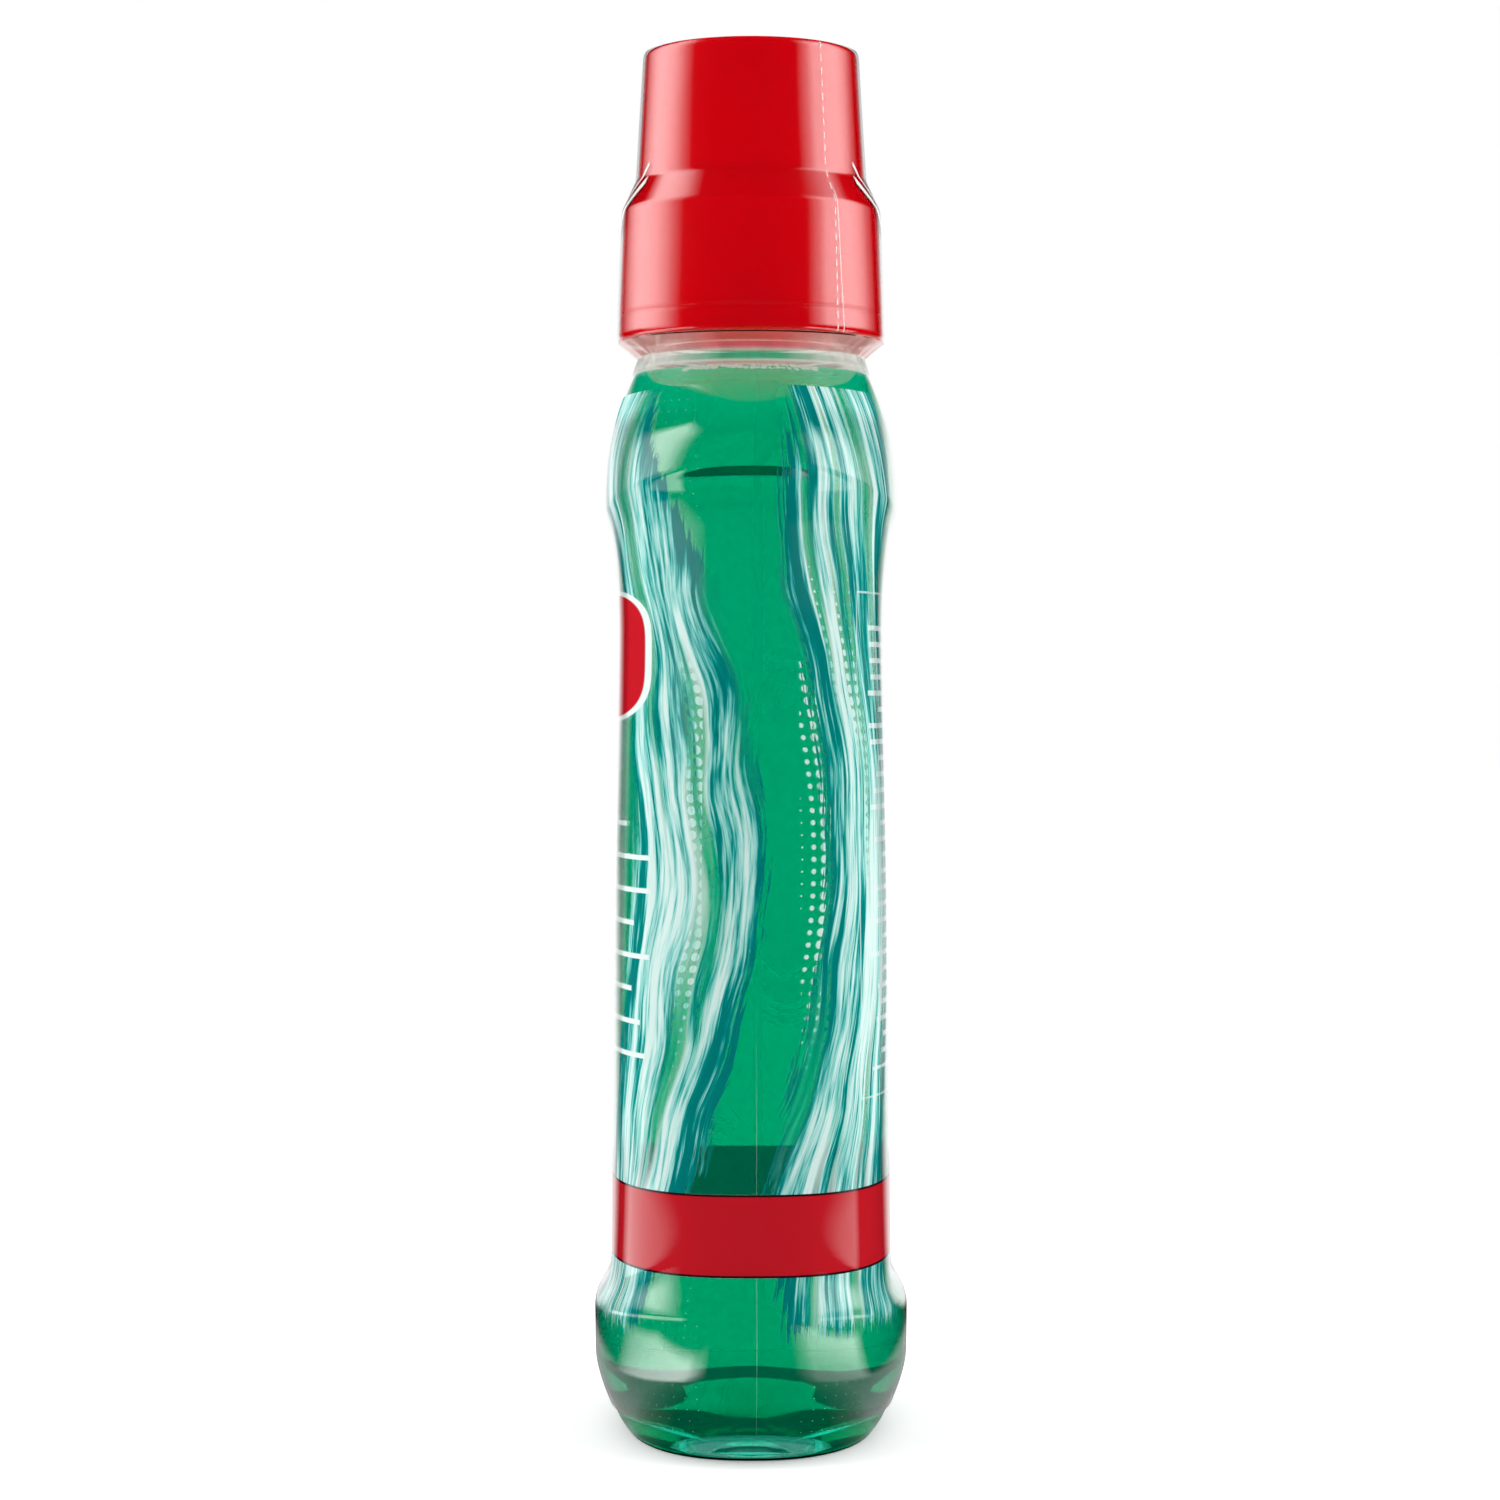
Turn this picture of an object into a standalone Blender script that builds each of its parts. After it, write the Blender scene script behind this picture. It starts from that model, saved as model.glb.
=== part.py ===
"""Half-litre mouthwash bottle with a screw-on dosing cap and a clear shrink sleeve.

Metres, +Z up. The origin is the middle of the foot that the bottle stands on.
X runs through the thin side of the bottle, from one broad label face to the other,
and Y runs along its broad side, so the narrow sides face -Y and +Y.
"""

import math

import bmesh
import bpy
import numpy as np

# How finely round shapes are cut into flat facets.
BODY_SEGMENTS = 32
TURNED_SEGMENTS = 40
ARC_STEPS = 2
PUNT_STEPS = 4
SHOULDER_STEPS = 8

# Gap that pieces resting on each other keep.
TOUCH_GAP = 0.0003

# Bottle body, from the foot up: each level's rise above the one below it,
# its depth front to back (X) and its width side to side (Y).
FOOT_DEPTH = 0.0408
FOOT_WIDTH = 0.0740
FOOT_BAND = 0.0032
PUNT_RISE = 0.0120
FOOT_ROUND_RISE = 0.0016
FOOT_ROUND_DEPTH = 0.0432
FOOT_ROUND_WIDTH = 0.0764
HEEL_RISE = 0.0031
HEEL_DEPTH = 0.0462
HEEL_WIDTH = 0.0796
BULGE_LOW_RISE = 0.0076
BULGE_LOW_DEPTH = 0.0505
BULGE_LOW_WIDTH = 0.0862
BULGE_RISE = 0.0075
BULGE_DEPTH = 0.0507
BULGE_WIDTH = 0.0868
BULGE_SIDE_LIFT = 0.0030
FLARE_RISE = 0.0076
PANEL_FOOT_DEPTH = 0.0454
PANEL_FOOT_WIDTH = 0.0828
PANEL_RISE = 0.0426
PANEL_DEPTH = 0.0448
PANEL_WIDTH = 0.0806
WAIST_RISE = 0.0600
WAIST_DEPTH = 0.0427
WAIST_WIDTH = 0.0782
PANEL_HEAD_RISE = 0.0160
PANEL_HEAD_DEPTH = 0.0452
PANEL_HEAD_WIDTH = 0.0806
RIDGE_RISE = 0.0036
RIDGE_DEPTH = 0.0474
RIDGE_WIDTH = 0.0842
RIDGE_SIDE_LIFT = 0.0060
SHOULDER_RISE = 0.0245
SHOULDER_TOP_RADIUS = 0.0186
PET_WALL = 0.0005

# How square each level's outline is: 2 is an ellipse, more is squarer.
FOOT_SQUARENESS = 2.30
BULGE_SQUARENESS = 2.35
PANEL_SQUARENESS = 2.65
RIDGE_SQUARENESS = 2.50
ROUND_SQUARENESS = 2.0
# How late the shoulder falls in to the neck: more keeps it full for longer.
SHOULDER_FULLNESS = 2.4

# Neck finish.
NECK_RADIUS = 0.0169
NECK_FOOT_RISE = 0.0010
LEDGE_CLEARANCE = 0.0006
LEDGE_RADIUS = 0.0181
LEDGE_HEIGHT = 0.0016
LEDGE_ROUND = 0.0005
FINISH_RADIUS = 0.0162
FINISH_HEIGHT = 0.0166
RIM_ROUND = 0.0005
BORE_RADIUS = 0.0143

# Mouthwash in the bottle.
FILL_HEIGHT = 0.1718

# Dosing cap: a cup whose wall runs down as the inner skirt, with an outer skirt round it.
CAP_HEIGHT = 0.0479
CAP_LEDGE_GAP = 0.0011
CAP_TOP_RADIUS = 0.01745
CAP_TOP_ROUND = 0.0012
CUP_FOOT_RADIUS = 0.0188
CUP_ROUND = 0.0020
SHOULDER_DROP = 0.0266
SHOULDER_LENGTH = 0.0050
SKIRT_TOP_RADIUS = 0.0211
SKIRT_TOP_ROUND = 0.0018
SKIRT_FOOT_RADIUS = 0.0219
SKIRT_FOOT_ROUND = 0.0008
SKIRT_WALL = 0.0012
CUP_WALL = 0.0013
CUP_FLOOR = 0.0014
CUP_FLOOR_ROUND = 0.0015
INNER_SKIRT_RADIUS = 0.0175
INNER_SKIRT_WALL = 0.0012
INNER_SKIRT_LIFT = 0.0008
DOSE_LINE_DEPTH = 0.0228
DOSE_LINE_WIDTH = 0.0010
DOSE_LINE_HEIGHT = 0.0004
SEAL_SEAT_WIDTH = 0.0024
SEAL_SEAT_HEIGHT = 0.0012

# Sealing ring between the bottle's rim and the seat in the cap.
SEAL_THICKNESS = 0.0010
SEAL_WIDTH = 0.0026
SEAL_EDGE_CLEARANCE = 0.0003

# Shrink sleeve.
SLEEVE_FILM = 0.0001
SLEEVE_TEAR_GAP = 0.0004
SLEEVE_LIP_REACH = 0.0038
SLEEVE_LIP_DROP = 0.0010

RED_PLASTIC = (0.60, 0.002, 0.010, 1.0)
CLEAR_PLASTIC = (0.90, 0.97, 0.95, 0.35)
GREEN_LIQUID = (0.002, 0.33, 0.135, 0.85)
CLEAR_FILM = (0.85, 0.93, 0.92, 0.30)
PRINTED_FILM = (0.60, 0.84, 0.82, 0.45)
WHITE_FOAM = (0.86, 0.86, 0.84, 1.0)


def material(name, colour, roughness):
    """A plastic, film or liquid with the given colour and roughness."""
    made = bpy.data.materials.new(name)
    made.use_nodes = True
    shader = made.node_tree.nodes["Principled BSDF"]
    shader.inputs["Base Color"].default_value = colour
    shader.inputs["Roughness"].default_value = roughness
    shader.inputs["Metallic"].default_value = 0.0
    shader.inputs["Alpha"].default_value = colour[3]
    return made


def add_object(name, mesh, finish, collection, origin_height=0.0):
    """Puts a mesh in the collection, with its origin at that height on the bottle's axis."""
    if origin_height:
        for vertex in mesh.vertices:
            vertex.co.z -= origin_height
    made = bpy.data.objects.new(name, mesh)
    made.location.z = origin_height
    mesh.materials.append(finish)
    mesh.shade_smooth()
    mesh.set_sharp_from_angle(angle=math.radians(40))
    collection.objects.link(made)
    return made


def smooth_through(values, steps):
    """Points on a smooth curve through the values that never swings past them, with steps[i] points from
    value i up to the next one, and the last value at the end."""
    values = np.array(values, float)
    rises = np.diff(values, axis=0)
    slopes = np.zeros_like(values)
    before, after = rises[:-1], rises[1:]
    same_way = before * after > 0
    total = np.where(same_way, before + after, 1.0)
    slopes[1:-1] = np.where(same_way, 2 * before * after / total, 0.0)
    slopes[0], slopes[-1] = rises[0], rises[-1]
    points = []
    for i, count in enumerate(steps):
        for step in range(count):
            t = step / count
            points.append(
                values[i] * (1 + 2 * t) * (1 - t) ** 2
                + slopes[i] * t * (1 - t) ** 2
                + values[i + 1] * t * t * (3 - 2 * t)
                + slopes[i + 1] * t * t * (t - 1)
            )
    points.append(values[-1])
    return points


def outline_ring(face_height, side_height, depth, width, squareness):
    """A level outline of the bottle as points: a superellipse that rises from face_height on the broad
    faces to side_height on the narrow sides."""
    angles = np.linspace(0, 2 * math.pi, BODY_SEGMENTS, endpoint=False)
    across, along = np.cos(angles), np.sin(angles)
    return np.stack(
        [
            depth / 2 * np.sign(across) * np.abs(across) ** (2 / squareness),
            width / 2 * np.sign(along) * np.abs(along) ** (2 / squareness),
            face_height + (side_height - face_height) * along**2,
        ],
        axis=1,
    )


def round_ring(radius, height, segments=BODY_SEGMENTS):
    """A level circle as points."""
    angles = np.linspace(0, 2 * math.pi, segments, endpoint=False)
    level = np.full(segments, height)
    return np.stack([radius * np.cos(angles), radius * np.sin(angles), level], axis=1)


def punt_rings():
    """The hollow under the bottle, from near its middle out to the inside of the foot."""
    depth, width = FOOT_DEPTH - 2 * FOOT_BAND, FOOT_WIDTH - 2 * FOOT_BAND
    rings = []
    for step in range(1, PUNT_STEPS + 1):
        angle = math.pi / 2 * step / PUNT_STEPS
        share, height = math.sin(angle), PUNT_RISE * math.cos(angle)
        rings.append(outline_ring(height, height, depth * share, width * share, FOOT_SQUARENESS))
    return rings


def wall_rings():
    """The outside of the bottle from the foot to the ridge under the shoulder."""
    levels = (
        (0.0, 0.0, FOOT_DEPTH, FOOT_WIDTH, FOOT_SQUARENESS),
        (FOOT_ROUND_RISE, 0.0, FOOT_ROUND_DEPTH, FOOT_ROUND_WIDTH, FOOT_SQUARENESS),
        (HEEL_RISE, 0.0, HEEL_DEPTH, HEEL_WIDTH, FOOT_SQUARENESS),
        (BULGE_LOW_RISE, 0.0, BULGE_LOW_DEPTH, BULGE_LOW_WIDTH, BULGE_SQUARENESS),
        (BULGE_RISE, BULGE_SIDE_LIFT, BULGE_DEPTH, BULGE_WIDTH, BULGE_SQUARENESS),
        (FLARE_RISE, BULGE_SIDE_LIFT, PANEL_FOOT_DEPTH, PANEL_FOOT_WIDTH, PANEL_SQUARENESS),
        (PANEL_RISE, 0.0, PANEL_DEPTH, PANEL_WIDTH, PANEL_SQUARENESS),
        (WAIST_RISE, 0.0, WAIST_DEPTH, WAIST_WIDTH, PANEL_SQUARENESS),
        (PANEL_HEAD_RISE, RIDGE_SIDE_LIFT, PANEL_HEAD_DEPTH, PANEL_HEAD_WIDTH, PANEL_SQUARENESS),
        (RIDGE_RISE, RIDGE_SIDE_LIFT, RIDGE_DEPTH, RIDGE_WIDTH, RIDGE_SQUARENESS),
    )
    steps = (1, 1, 2, 2, 3, 2, 2, 3, 2)
    height, known = 0.0, []
    for rise, side_lift, depth, width, squareness in levels:
        height += rise
        known.append((height, height + side_lift, depth, width, squareness))
    return [outline_ring(*values) for values in smooth_through(known, steps)]


def ridge_height():
    """Height of the ridge on the broad faces."""
    lower = FOOT_ROUND_RISE + HEEL_RISE + BULGE_LOW_RISE + BULGE_RISE + FLARE_RISE
    return lower + PANEL_RISE + WAIST_RISE + PANEL_HEAD_RISE + RIDGE_RISE


def shoulder_top():
    """Height at which the shoulder has drawn in to a circle."""
    return ridge_height() + SHOULDER_RISE


def shoulder_rings():
    """The shoulder above the ridge: its outline shrinks to a circle, slowly at first and then fast."""
    rings = []
    for step in range(1, SHOULDER_STEPS + 1):
        rise = math.sin(math.pi / 2 * step / SHOULDER_STEPS)
        fall = rise**SHOULDER_FULLNESS
        face = ridge_height() + SHOULDER_RISE * rise
        depth = RIDGE_DEPTH + (2 * SHOULDER_TOP_RADIUS - RIDGE_DEPTH) * fall
        width = RIDGE_WIDTH + (2 * SHOULDER_TOP_RADIUS - RIDGE_WIDTH) * fall
        squareness = RIDGE_SQUARENESS + (ROUND_SQUARENESS - RIDGE_SQUARENESS) * rise
        rings.append(
            outline_ring(face, face + RIDGE_SIDE_LIFT * (1 - rise), depth, width, squareness)
        )
    return rings


def body_grid():
    """The outside of the bottle from the middle of the punt to the top of the shoulder, as rings."""
    return np.array(punt_rings() + wall_rings() + shoulder_rings())


def moved_out(grid, distance):
    """The rings moved by distance along the surface's outward normals."""
    along = np.roll(grid, -1, axis=1) - np.roll(grid, 1, axis=1)
    up = np.empty_like(grid)
    up[1:-1] = grid[2:] - grid[:-2]
    up[0], up[-1] = grid[1] - grid[0], grid[-1] - grid[-2]
    normals = np.cross(along, up)
    normals /= np.linalg.norm(normals, axis=2, keepdims=True)
    return grid + distance * normals


def rounded(corners):
    """An outline of (radius, height) points from corners (radius, height, fillet), where each corner with a
    fillet becomes an arc of that radius."""
    points = []
    for i, (x, z, fillet) in enumerate(corners):
        here = np.array([x, z])
        if not fillet:
            points.append(here)
            continue
        before = np.array(corners[i - 1][:2]) - here
        after = np.array(corners[i + 1][:2]) - here
        before /= np.linalg.norm(before)
        after /= np.linalg.norm(after)
        half = math.acos(float(before @ after)) / 2
        middle = here + (before + after) / np.linalg.norm(before + after) * fillet / math.sin(half)
        first = here + before * fillet / math.tan(half) - middle
        last = here + after * fillet / math.tan(half) - middle
        turn = math.pi - 2 * half
        for step in range(ARC_STEPS + 1):
            t = step / ARC_STEPS
            arm = (math.sin((1 - t) * turn) * first + math.sin(t * turn) * last) / math.sin(turn)
            points.append(middle + arm)
    return points


def offset_outline(points, distance):
    """An open outline moved to its left by distance, with mitred corners."""
    points = np.array(points)
    steps = np.diff(points, axis=0)
    steps /= np.linalg.norm(steps, axis=1, keepdims=True)
    left = np.stack([-steps[:, 1], steps[:, 0]], axis=1)
    before = np.vstack([left[:1], left])
    after = np.vstack([left, left[-1:]])
    mitre = before + after
    mitre /= np.sum(mitre * before, axis=1, keepdims=True)
    return points + distance * mitre


def lofted(name, rings, first_pole=None, last_pole=None, cyclic=False):
    """A closed mesh through rings of equal count. It ends in the poles, or runs back to its first ring."""
    shell = bmesh.new()
    rows = [[shell.verts.new(point) for point in ring] for ring in rings]
    pairs = list(zip(rows, rows[1:]))
    if cyclic:
        pairs.append((rows[-1], rows[0]))
    for low, high in pairs:
        for i in range(len(low)):
            j = (i + 1) % len(low)
            shell.faces.new((low[i], low[j], high[j], high[i]))
    for row, pole in ((rows[0], first_pole), (rows[-1], last_pole)):
        if pole is not None:
            tip = shell.verts.new(pole)
            for i in range(len(row)):
                shell.faces.new((row[i], row[(i + 1) % len(row)], tip))
    bmesh.ops.recalc_face_normals(shell, faces=shell.faces)
    mesh = bpy.data.meshes.new(name)
    shell.to_mesh(mesh)
    shell.free()
    return mesh


def turned(name, outline, finish, collection, origin_height, closed=True):
    """A piece turned about the bottle's axis from an outline of (radius, height) points that runs down the
    outer side first. A closed outline is a ring; an open one starts and ends on the axis."""
    mesh = bpy.data.meshes.new(name)
    points = [(radius, 0.0, height - origin_height) for radius, height in outline]
    edges = [(i, i + 1) for i in range(len(points) - 1)]
    if closed:
        edges.append((len(points) - 1, 0))
    mesh.from_pydata(points, edges, [])
    made = bpy.data.objects.new(name, mesh)
    made.location.z = origin_height
    mesh.materials.append(finish)
    screw = made.modifiers.new("Screw", "SCREW")
    screw.axis = "Z"
    screw.steps = screw.render_steps = TURNED_SEGMENTS
    screw.use_merge_vertices = True
    screw.merge_threshold = TOUCH_GAP / 10
    screw.use_smooth_shade = True
    collection.objects.link(made)
    return made


def finish_foot():
    """Height of the underside of the neck's support ledge."""
    return shoulder_top() + NECK_FOOT_RISE + LEDGE_CLEARANCE


def rim_height():
    """Height of the bottle's rim."""
    return finish_foot() + LEDGE_HEIGHT + FINISH_HEIGHT


def cap_foot():
    """Height of the cap's lower edge, just over the support ledge."""
    return finish_foot() + LEDGE_HEIGHT + CAP_LEDGE_GAP


def neck_rings():
    """The outside of the neck from the shoulder to the rim, and its bore back down to the shoulder."""
    ledge = finish_foot()
    outline = rounded(
        (
            (NECK_RADIUS, shoulder_top() + NECK_FOOT_RISE, 0.0),
            (NECK_RADIUS, ledge, 0.0),
            (LEDGE_RADIUS, ledge, LEDGE_ROUND),
            (LEDGE_RADIUS, ledge + LEDGE_HEIGHT, LEDGE_ROUND),
            (FINISH_RADIUS, ledge + LEDGE_HEIGHT, 0.0),
            (FINISH_RADIUS, rim_height(), RIM_ROUND),
            (BORE_RADIUS, rim_height(), RIM_ROUND),
            (BORE_RADIUS, shoulder_top() + NECK_FOOT_RISE, 0.0),
        )
    )
    return [round_ring(radius, height) for radius, height in outline]


def add_bottle(finish, collection):
    """The blown bottle: one wall that goes up its outside, over the rim and down its inside."""
    outside = body_grid()
    inside = moved_out(outside, -PET_WALL)
    rings = list(outside) + neck_rings() + list(inside[::-1])
    mesh = lofted("bottle", rings, (0, 0, PUNT_RISE), (0, 0, PUNT_RISE + PET_WALL))
    return add_object("bottle", mesh, finish, collection)


def add_mouthwash(finish, collection):
    """The liquid, which fills the bottle up to a level surface in the shoulder."""
    inset = PET_WALL + TOUCH_GAP
    grid = moved_out(body_grid(), -inset)
    mesh = lofted("mouthwash", list(grid), (0, 0, PUNT_RISE + inset), (0, 0, shoulder_top()))
    liquid = bmesh.new()
    liquid.from_mesh(mesh)
    cut = bmesh.ops.bisect_plane(
        liquid,
        geom=liquid.verts[:] + liquid.edges[:] + liquid.faces[:],
        plane_co=(0, 0, FILL_HEIGHT),
        plane_no=(0, 0, 1),
        clear_outer=True,
    )
    rim = [part for part in cut["geom_cut"] if isinstance(part, bmesh.types.BMEdge)]
    bmesh.ops.contextual_create(liquid, geom=rim)
    bmesh.ops.recalc_face_normals(liquid, faces=liquid.faces)
    liquid.to_mesh(mesh)
    liquid.free()
    return add_object("mouthwash", mesh, finish, collection)


def cap_outside():
    """The cap's outer outline, from the rim of its flat top down to its lower edge."""
    foot = cap_foot()
    top = foot + CAP_HEIGHT
    corner = top - SHOULDER_DROP + SHOULDER_LENGTH
    return rounded(
        (
            (CAP_TOP_RADIUS - CAP_TOP_ROUND * 2, top, 0.0),
            (CAP_TOP_RADIUS, top, CAP_TOP_ROUND),
            (CUP_FOOT_RADIUS, corner, CUP_ROUND),
            (SKIRT_TOP_RADIUS, corner - SHOULDER_LENGTH, SKIRT_TOP_ROUND),
            (SKIRT_FOOT_RADIUS, foot, SKIRT_FOOT_ROUND),
            (SKIRT_FOOT_RADIUS - SKIRT_WALL, foot, 0.0),
        )
    )


def seal_seat():
    """Height of the seat that presses the sealing ring down."""
    return rim_height() + TOUCH_GAP + SEAL_THICKNESS + TOUCH_GAP


def cap_inside():
    """The cap's inner outline, from its lower edge up the double skirt and into the cup."""
    foot = cap_foot()
    top = foot + CAP_HEIGHT
    hollow_top = top - SHOULDER_DROP - SKIRT_WALL
    inner_foot = foot + INNER_SKIRT_LIFT
    floor = top - CUP_FLOOR
    line = floor - DOSE_LINE_DEPTH
    cup_top_radius = CAP_TOP_RADIUS - CUP_WALL
    slope = (INNER_SKIRT_RADIUS - cup_top_radius) / (floor - seal_seat())
    line_radius = cup_top_radius + slope * DOSE_LINE_DEPTH
    seat_radius = INNER_SKIRT_RADIUS - SEAL_SEAT_WIDTH
    return rounded(
        (
            (SKIRT_TOP_RADIUS - SKIRT_WALL, hollow_top, 0.0),
            (INNER_SKIRT_RADIUS + INNER_SKIRT_WALL, hollow_top, 0.0),
            (INNER_SKIRT_RADIUS + INNER_SKIRT_WALL, inner_foot, 0.0),
            (INNER_SKIRT_RADIUS, inner_foot, 0.0),
            (INNER_SKIRT_RADIUS, seal_seat(), 0.0),
            (seat_radius, seal_seat(), 0.0),
            (seat_radius, seal_seat() + SEAL_SEAT_HEIGHT, 0.0),
            (INNER_SKIRT_RADIUS, seal_seat() + SEAL_SEAT_HEIGHT + SEAL_SEAT_WIDTH / 2, 0.0),
            (line_radius, line - DOSE_LINE_WIDTH, 0.0),
            (line_radius - DOSE_LINE_HEIGHT, line, 0.0),
            (line_radius, line + DOSE_LINE_WIDTH, 0.0),
            (cup_top_radius, floor, CUP_FLOOR_ROUND),
            (0.0, floor, 0.0),
        )
    )


def add_cap(finish, collection):
    """The one-piece dosing cap."""
    outline = [(0.0, cap_foot() + CAP_HEIGHT), *cap_outside(), *cap_inside()]
    return turned("dosing_cap", outline, finish, collection, cap_foot(), closed=False)


def add_seal(finish, collection):
    """The flat sealing ring on the bottle's rim."""
    outer = INNER_SKIRT_RADIUS - SEAL_EDGE_CLEARANCE
    low = rim_height() + TOUCH_GAP
    high = low + SEAL_THICKNESS
    outline = ((outer, high), (outer, low), (outer - SEAL_WIDTH, low), (outer - SEAL_WIDTH, high))
    return turned("seal_ring", outline, finish, collection, low)


def add_cap_sleeve(finish, collection):
    """The part of the shrink sleeve that is torn free with the cap: film down its side, from its top
    corner to its lower corner."""
    side = cap_outside()[2:-2]
    outside = offset_outline(side, TOUCH_GAP + SLEEVE_FILM)
    inside = offset_outline(side, TOUCH_GAP)
    return turned("cap_sleeve", [*outside, *inside[::-1]], finish, collection, cap_foot())


def add_body_sleeve(finish, collection):
    """The rest of the sleeve: film from the heel to the shoulder, drawn in under the cap round the support
    ledge, with a lip that reaches back out to the cap's lower edge. The foot's own two rings stay bare."""
    first = PUNT_STEPS + 2
    inside = moved_out(body_grid(), TOUCH_GAP)[first:]
    outside = moved_out(body_grid(), TOUCH_GAP + SLEEVE_FILM)[first:]
    hug = LEDGE_RADIUS + TOUCH_GAP
    lip_top = cap_foot() - SLEEVE_TEAR_GAP
    neck = ((hug, finish_foot()), (hug, lip_top - SLEEVE_LIP_DROP), (hug + SLEEVE_LIP_REACH, lip_top))
    inner_neck = [round_ring(*point) for point in neck]
    outer_neck = [round_ring(*point) for point in offset_outline(neck, -SLEEVE_FILM)]
    rings = list(inside) + inner_neck + outer_neck[::-1] + list(outside[::-1])
    mesh = lofted("body_sleeve", rings, cyclic=True)
    return add_object("body_sleeve", mesh, finish, collection)


def main():
    for old in list(bpy.data.objects):
        bpy.data.objects.remove(old)
    collection = bpy.data.collections.new("mouthwash_bottle")
    bpy.context.scene.collection.children.link(collection)
    add_bottle(material("clear_pet", CLEAR_PLASTIC, 0.05), collection)
    add_mouthwash(material("green_mouthwash", GREEN_LIQUID, 0.02), collection)
    add_seal(material("white_foam", WHITE_FOAM, 0.70), collection)
    add_cap(material("red_polypropylene", RED_PLASTIC, 0.20), collection)
    add_cap_sleeve(material("clear_film", CLEAR_FILM, 0.08), collection)
    add_body_sleeve(material("printed_film", PRINTED_FILM, 0.08), collection)


main()
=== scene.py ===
"""Looks of a half-litre mouthwash bottle: a blown clear bottle of green liquid in a printed shrink
sleeve, with a red dosing cap.

Metres, +Z up. X runs through the thin side, from one broad label face to the other, and Y along the
broad side, so the camera at -Y faces a narrow side. The films' print is laid out in millimetres.
"""

import math

import bpy
import numpy as np
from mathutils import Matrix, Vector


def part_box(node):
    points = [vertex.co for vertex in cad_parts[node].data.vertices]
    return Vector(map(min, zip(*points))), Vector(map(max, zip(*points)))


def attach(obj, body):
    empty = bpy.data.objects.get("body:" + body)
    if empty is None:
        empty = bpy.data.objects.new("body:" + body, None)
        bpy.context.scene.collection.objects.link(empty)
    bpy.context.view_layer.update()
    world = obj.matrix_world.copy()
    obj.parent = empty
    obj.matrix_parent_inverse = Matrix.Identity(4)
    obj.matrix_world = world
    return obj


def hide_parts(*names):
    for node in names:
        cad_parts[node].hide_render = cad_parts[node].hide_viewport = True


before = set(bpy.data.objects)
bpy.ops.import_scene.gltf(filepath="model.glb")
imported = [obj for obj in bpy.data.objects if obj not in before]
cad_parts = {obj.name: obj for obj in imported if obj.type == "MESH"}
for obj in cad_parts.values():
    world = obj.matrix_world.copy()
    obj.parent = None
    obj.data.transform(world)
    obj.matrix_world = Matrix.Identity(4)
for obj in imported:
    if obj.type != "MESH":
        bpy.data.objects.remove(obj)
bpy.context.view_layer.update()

bl_info = {
    "name": "Mouthwash bottle",
    "version": (1, 0, 0),
    "blender": (4, 5, 0),
    "location": "View3D > Sidebar > Bottle",
    "description": "Builds a dressed mouthwash bottle round its packed solids",
    "category": "Add Mesh",
}

# How finely the surfaces are divided.
ROUND_STEPS = 224
ARC_STEPS = 6
OUTLINE_SPACING = 0.0006
SHARP_ANGLE = 50

# Levels of the bottle's outside, from the foot up: height on the broad faces, how much higher the
# level lies on the narrow sides, depth along X, width along Y and squareness, where 2 is an
# ellipse.
FOOT_LEVEL = (0.0, 0.0, 0.0408, 0.0740, 2.30)
BODY_LEVELS = (
    FOOT_LEVEL,
    (0.0016, 0.0, 0.0432, 0.0764, 2.30),
    (0.0047, 0.0, 0.0462, 0.0796, 2.30),
    (0.0123, 0.0, 0.0505, 0.0862, 2.35),
    (0.0198, 0.0030, 0.0507, 0.0868, 2.35),
    (0.0274, 0.0030, 0.0454, 0.0828, 2.65),
    (0.0700, 0.0, 0.0448, 0.0806, 2.65),
    (0.1300, 0.0, 0.0427, 0.0782, 2.65),
    (0.1460, 0.0060, 0.0452, 0.0806, 2.65),
    (0.1496, 0.0060, 0.0474, 0.0842, 2.50),
)
BODY_RINGS = (3, 5, 10, 10, 12, 16, 16, 14, 8)
BULGE, WAIST = BODY_LEVELS[3], BODY_LEVELS[7]
FOOT_BAND = 0.0032
PUNT_RISE = 0.0120
PUNT_RINGS = 28
SHOULDER_RISE = 0.0245
SHOULDER_TOP = BODY_LEVELS[-1][0] + SHOULDER_RISE
SHOULDER_RADIUS = 0.0186
SHOULDER_FULLNESS = 2.4
SHOULDER_RINGS = 40

# Neck, from the shoulder's top to the rim.
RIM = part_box("bottle")[1].z
NECK_RADIUS = 0.0169
NECK_FOOT = 0.0010
LEDGE_RADIUS = 0.0181
LEDGE_LOW = 0.0016
LEDGE_HEIGHT = 0.0016
LEDGE_ROUND = 0.0005
FINISH_RADIUS = 0.0162
BORE_RADIUS = 0.0143
RIM_ROUND = 0.0005

# Thread of the neck, which starts this far under the rim, and of the cap.
THREAD_DROP = 0.0125
THREAD_LEAD = 0.0042
THREAD_DEPTH = 0.0009
THREAD_HALF_WIDTH = 0.0010
THREAD_TURNS = 1.4
THREAD_FADE = 0.06

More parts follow.
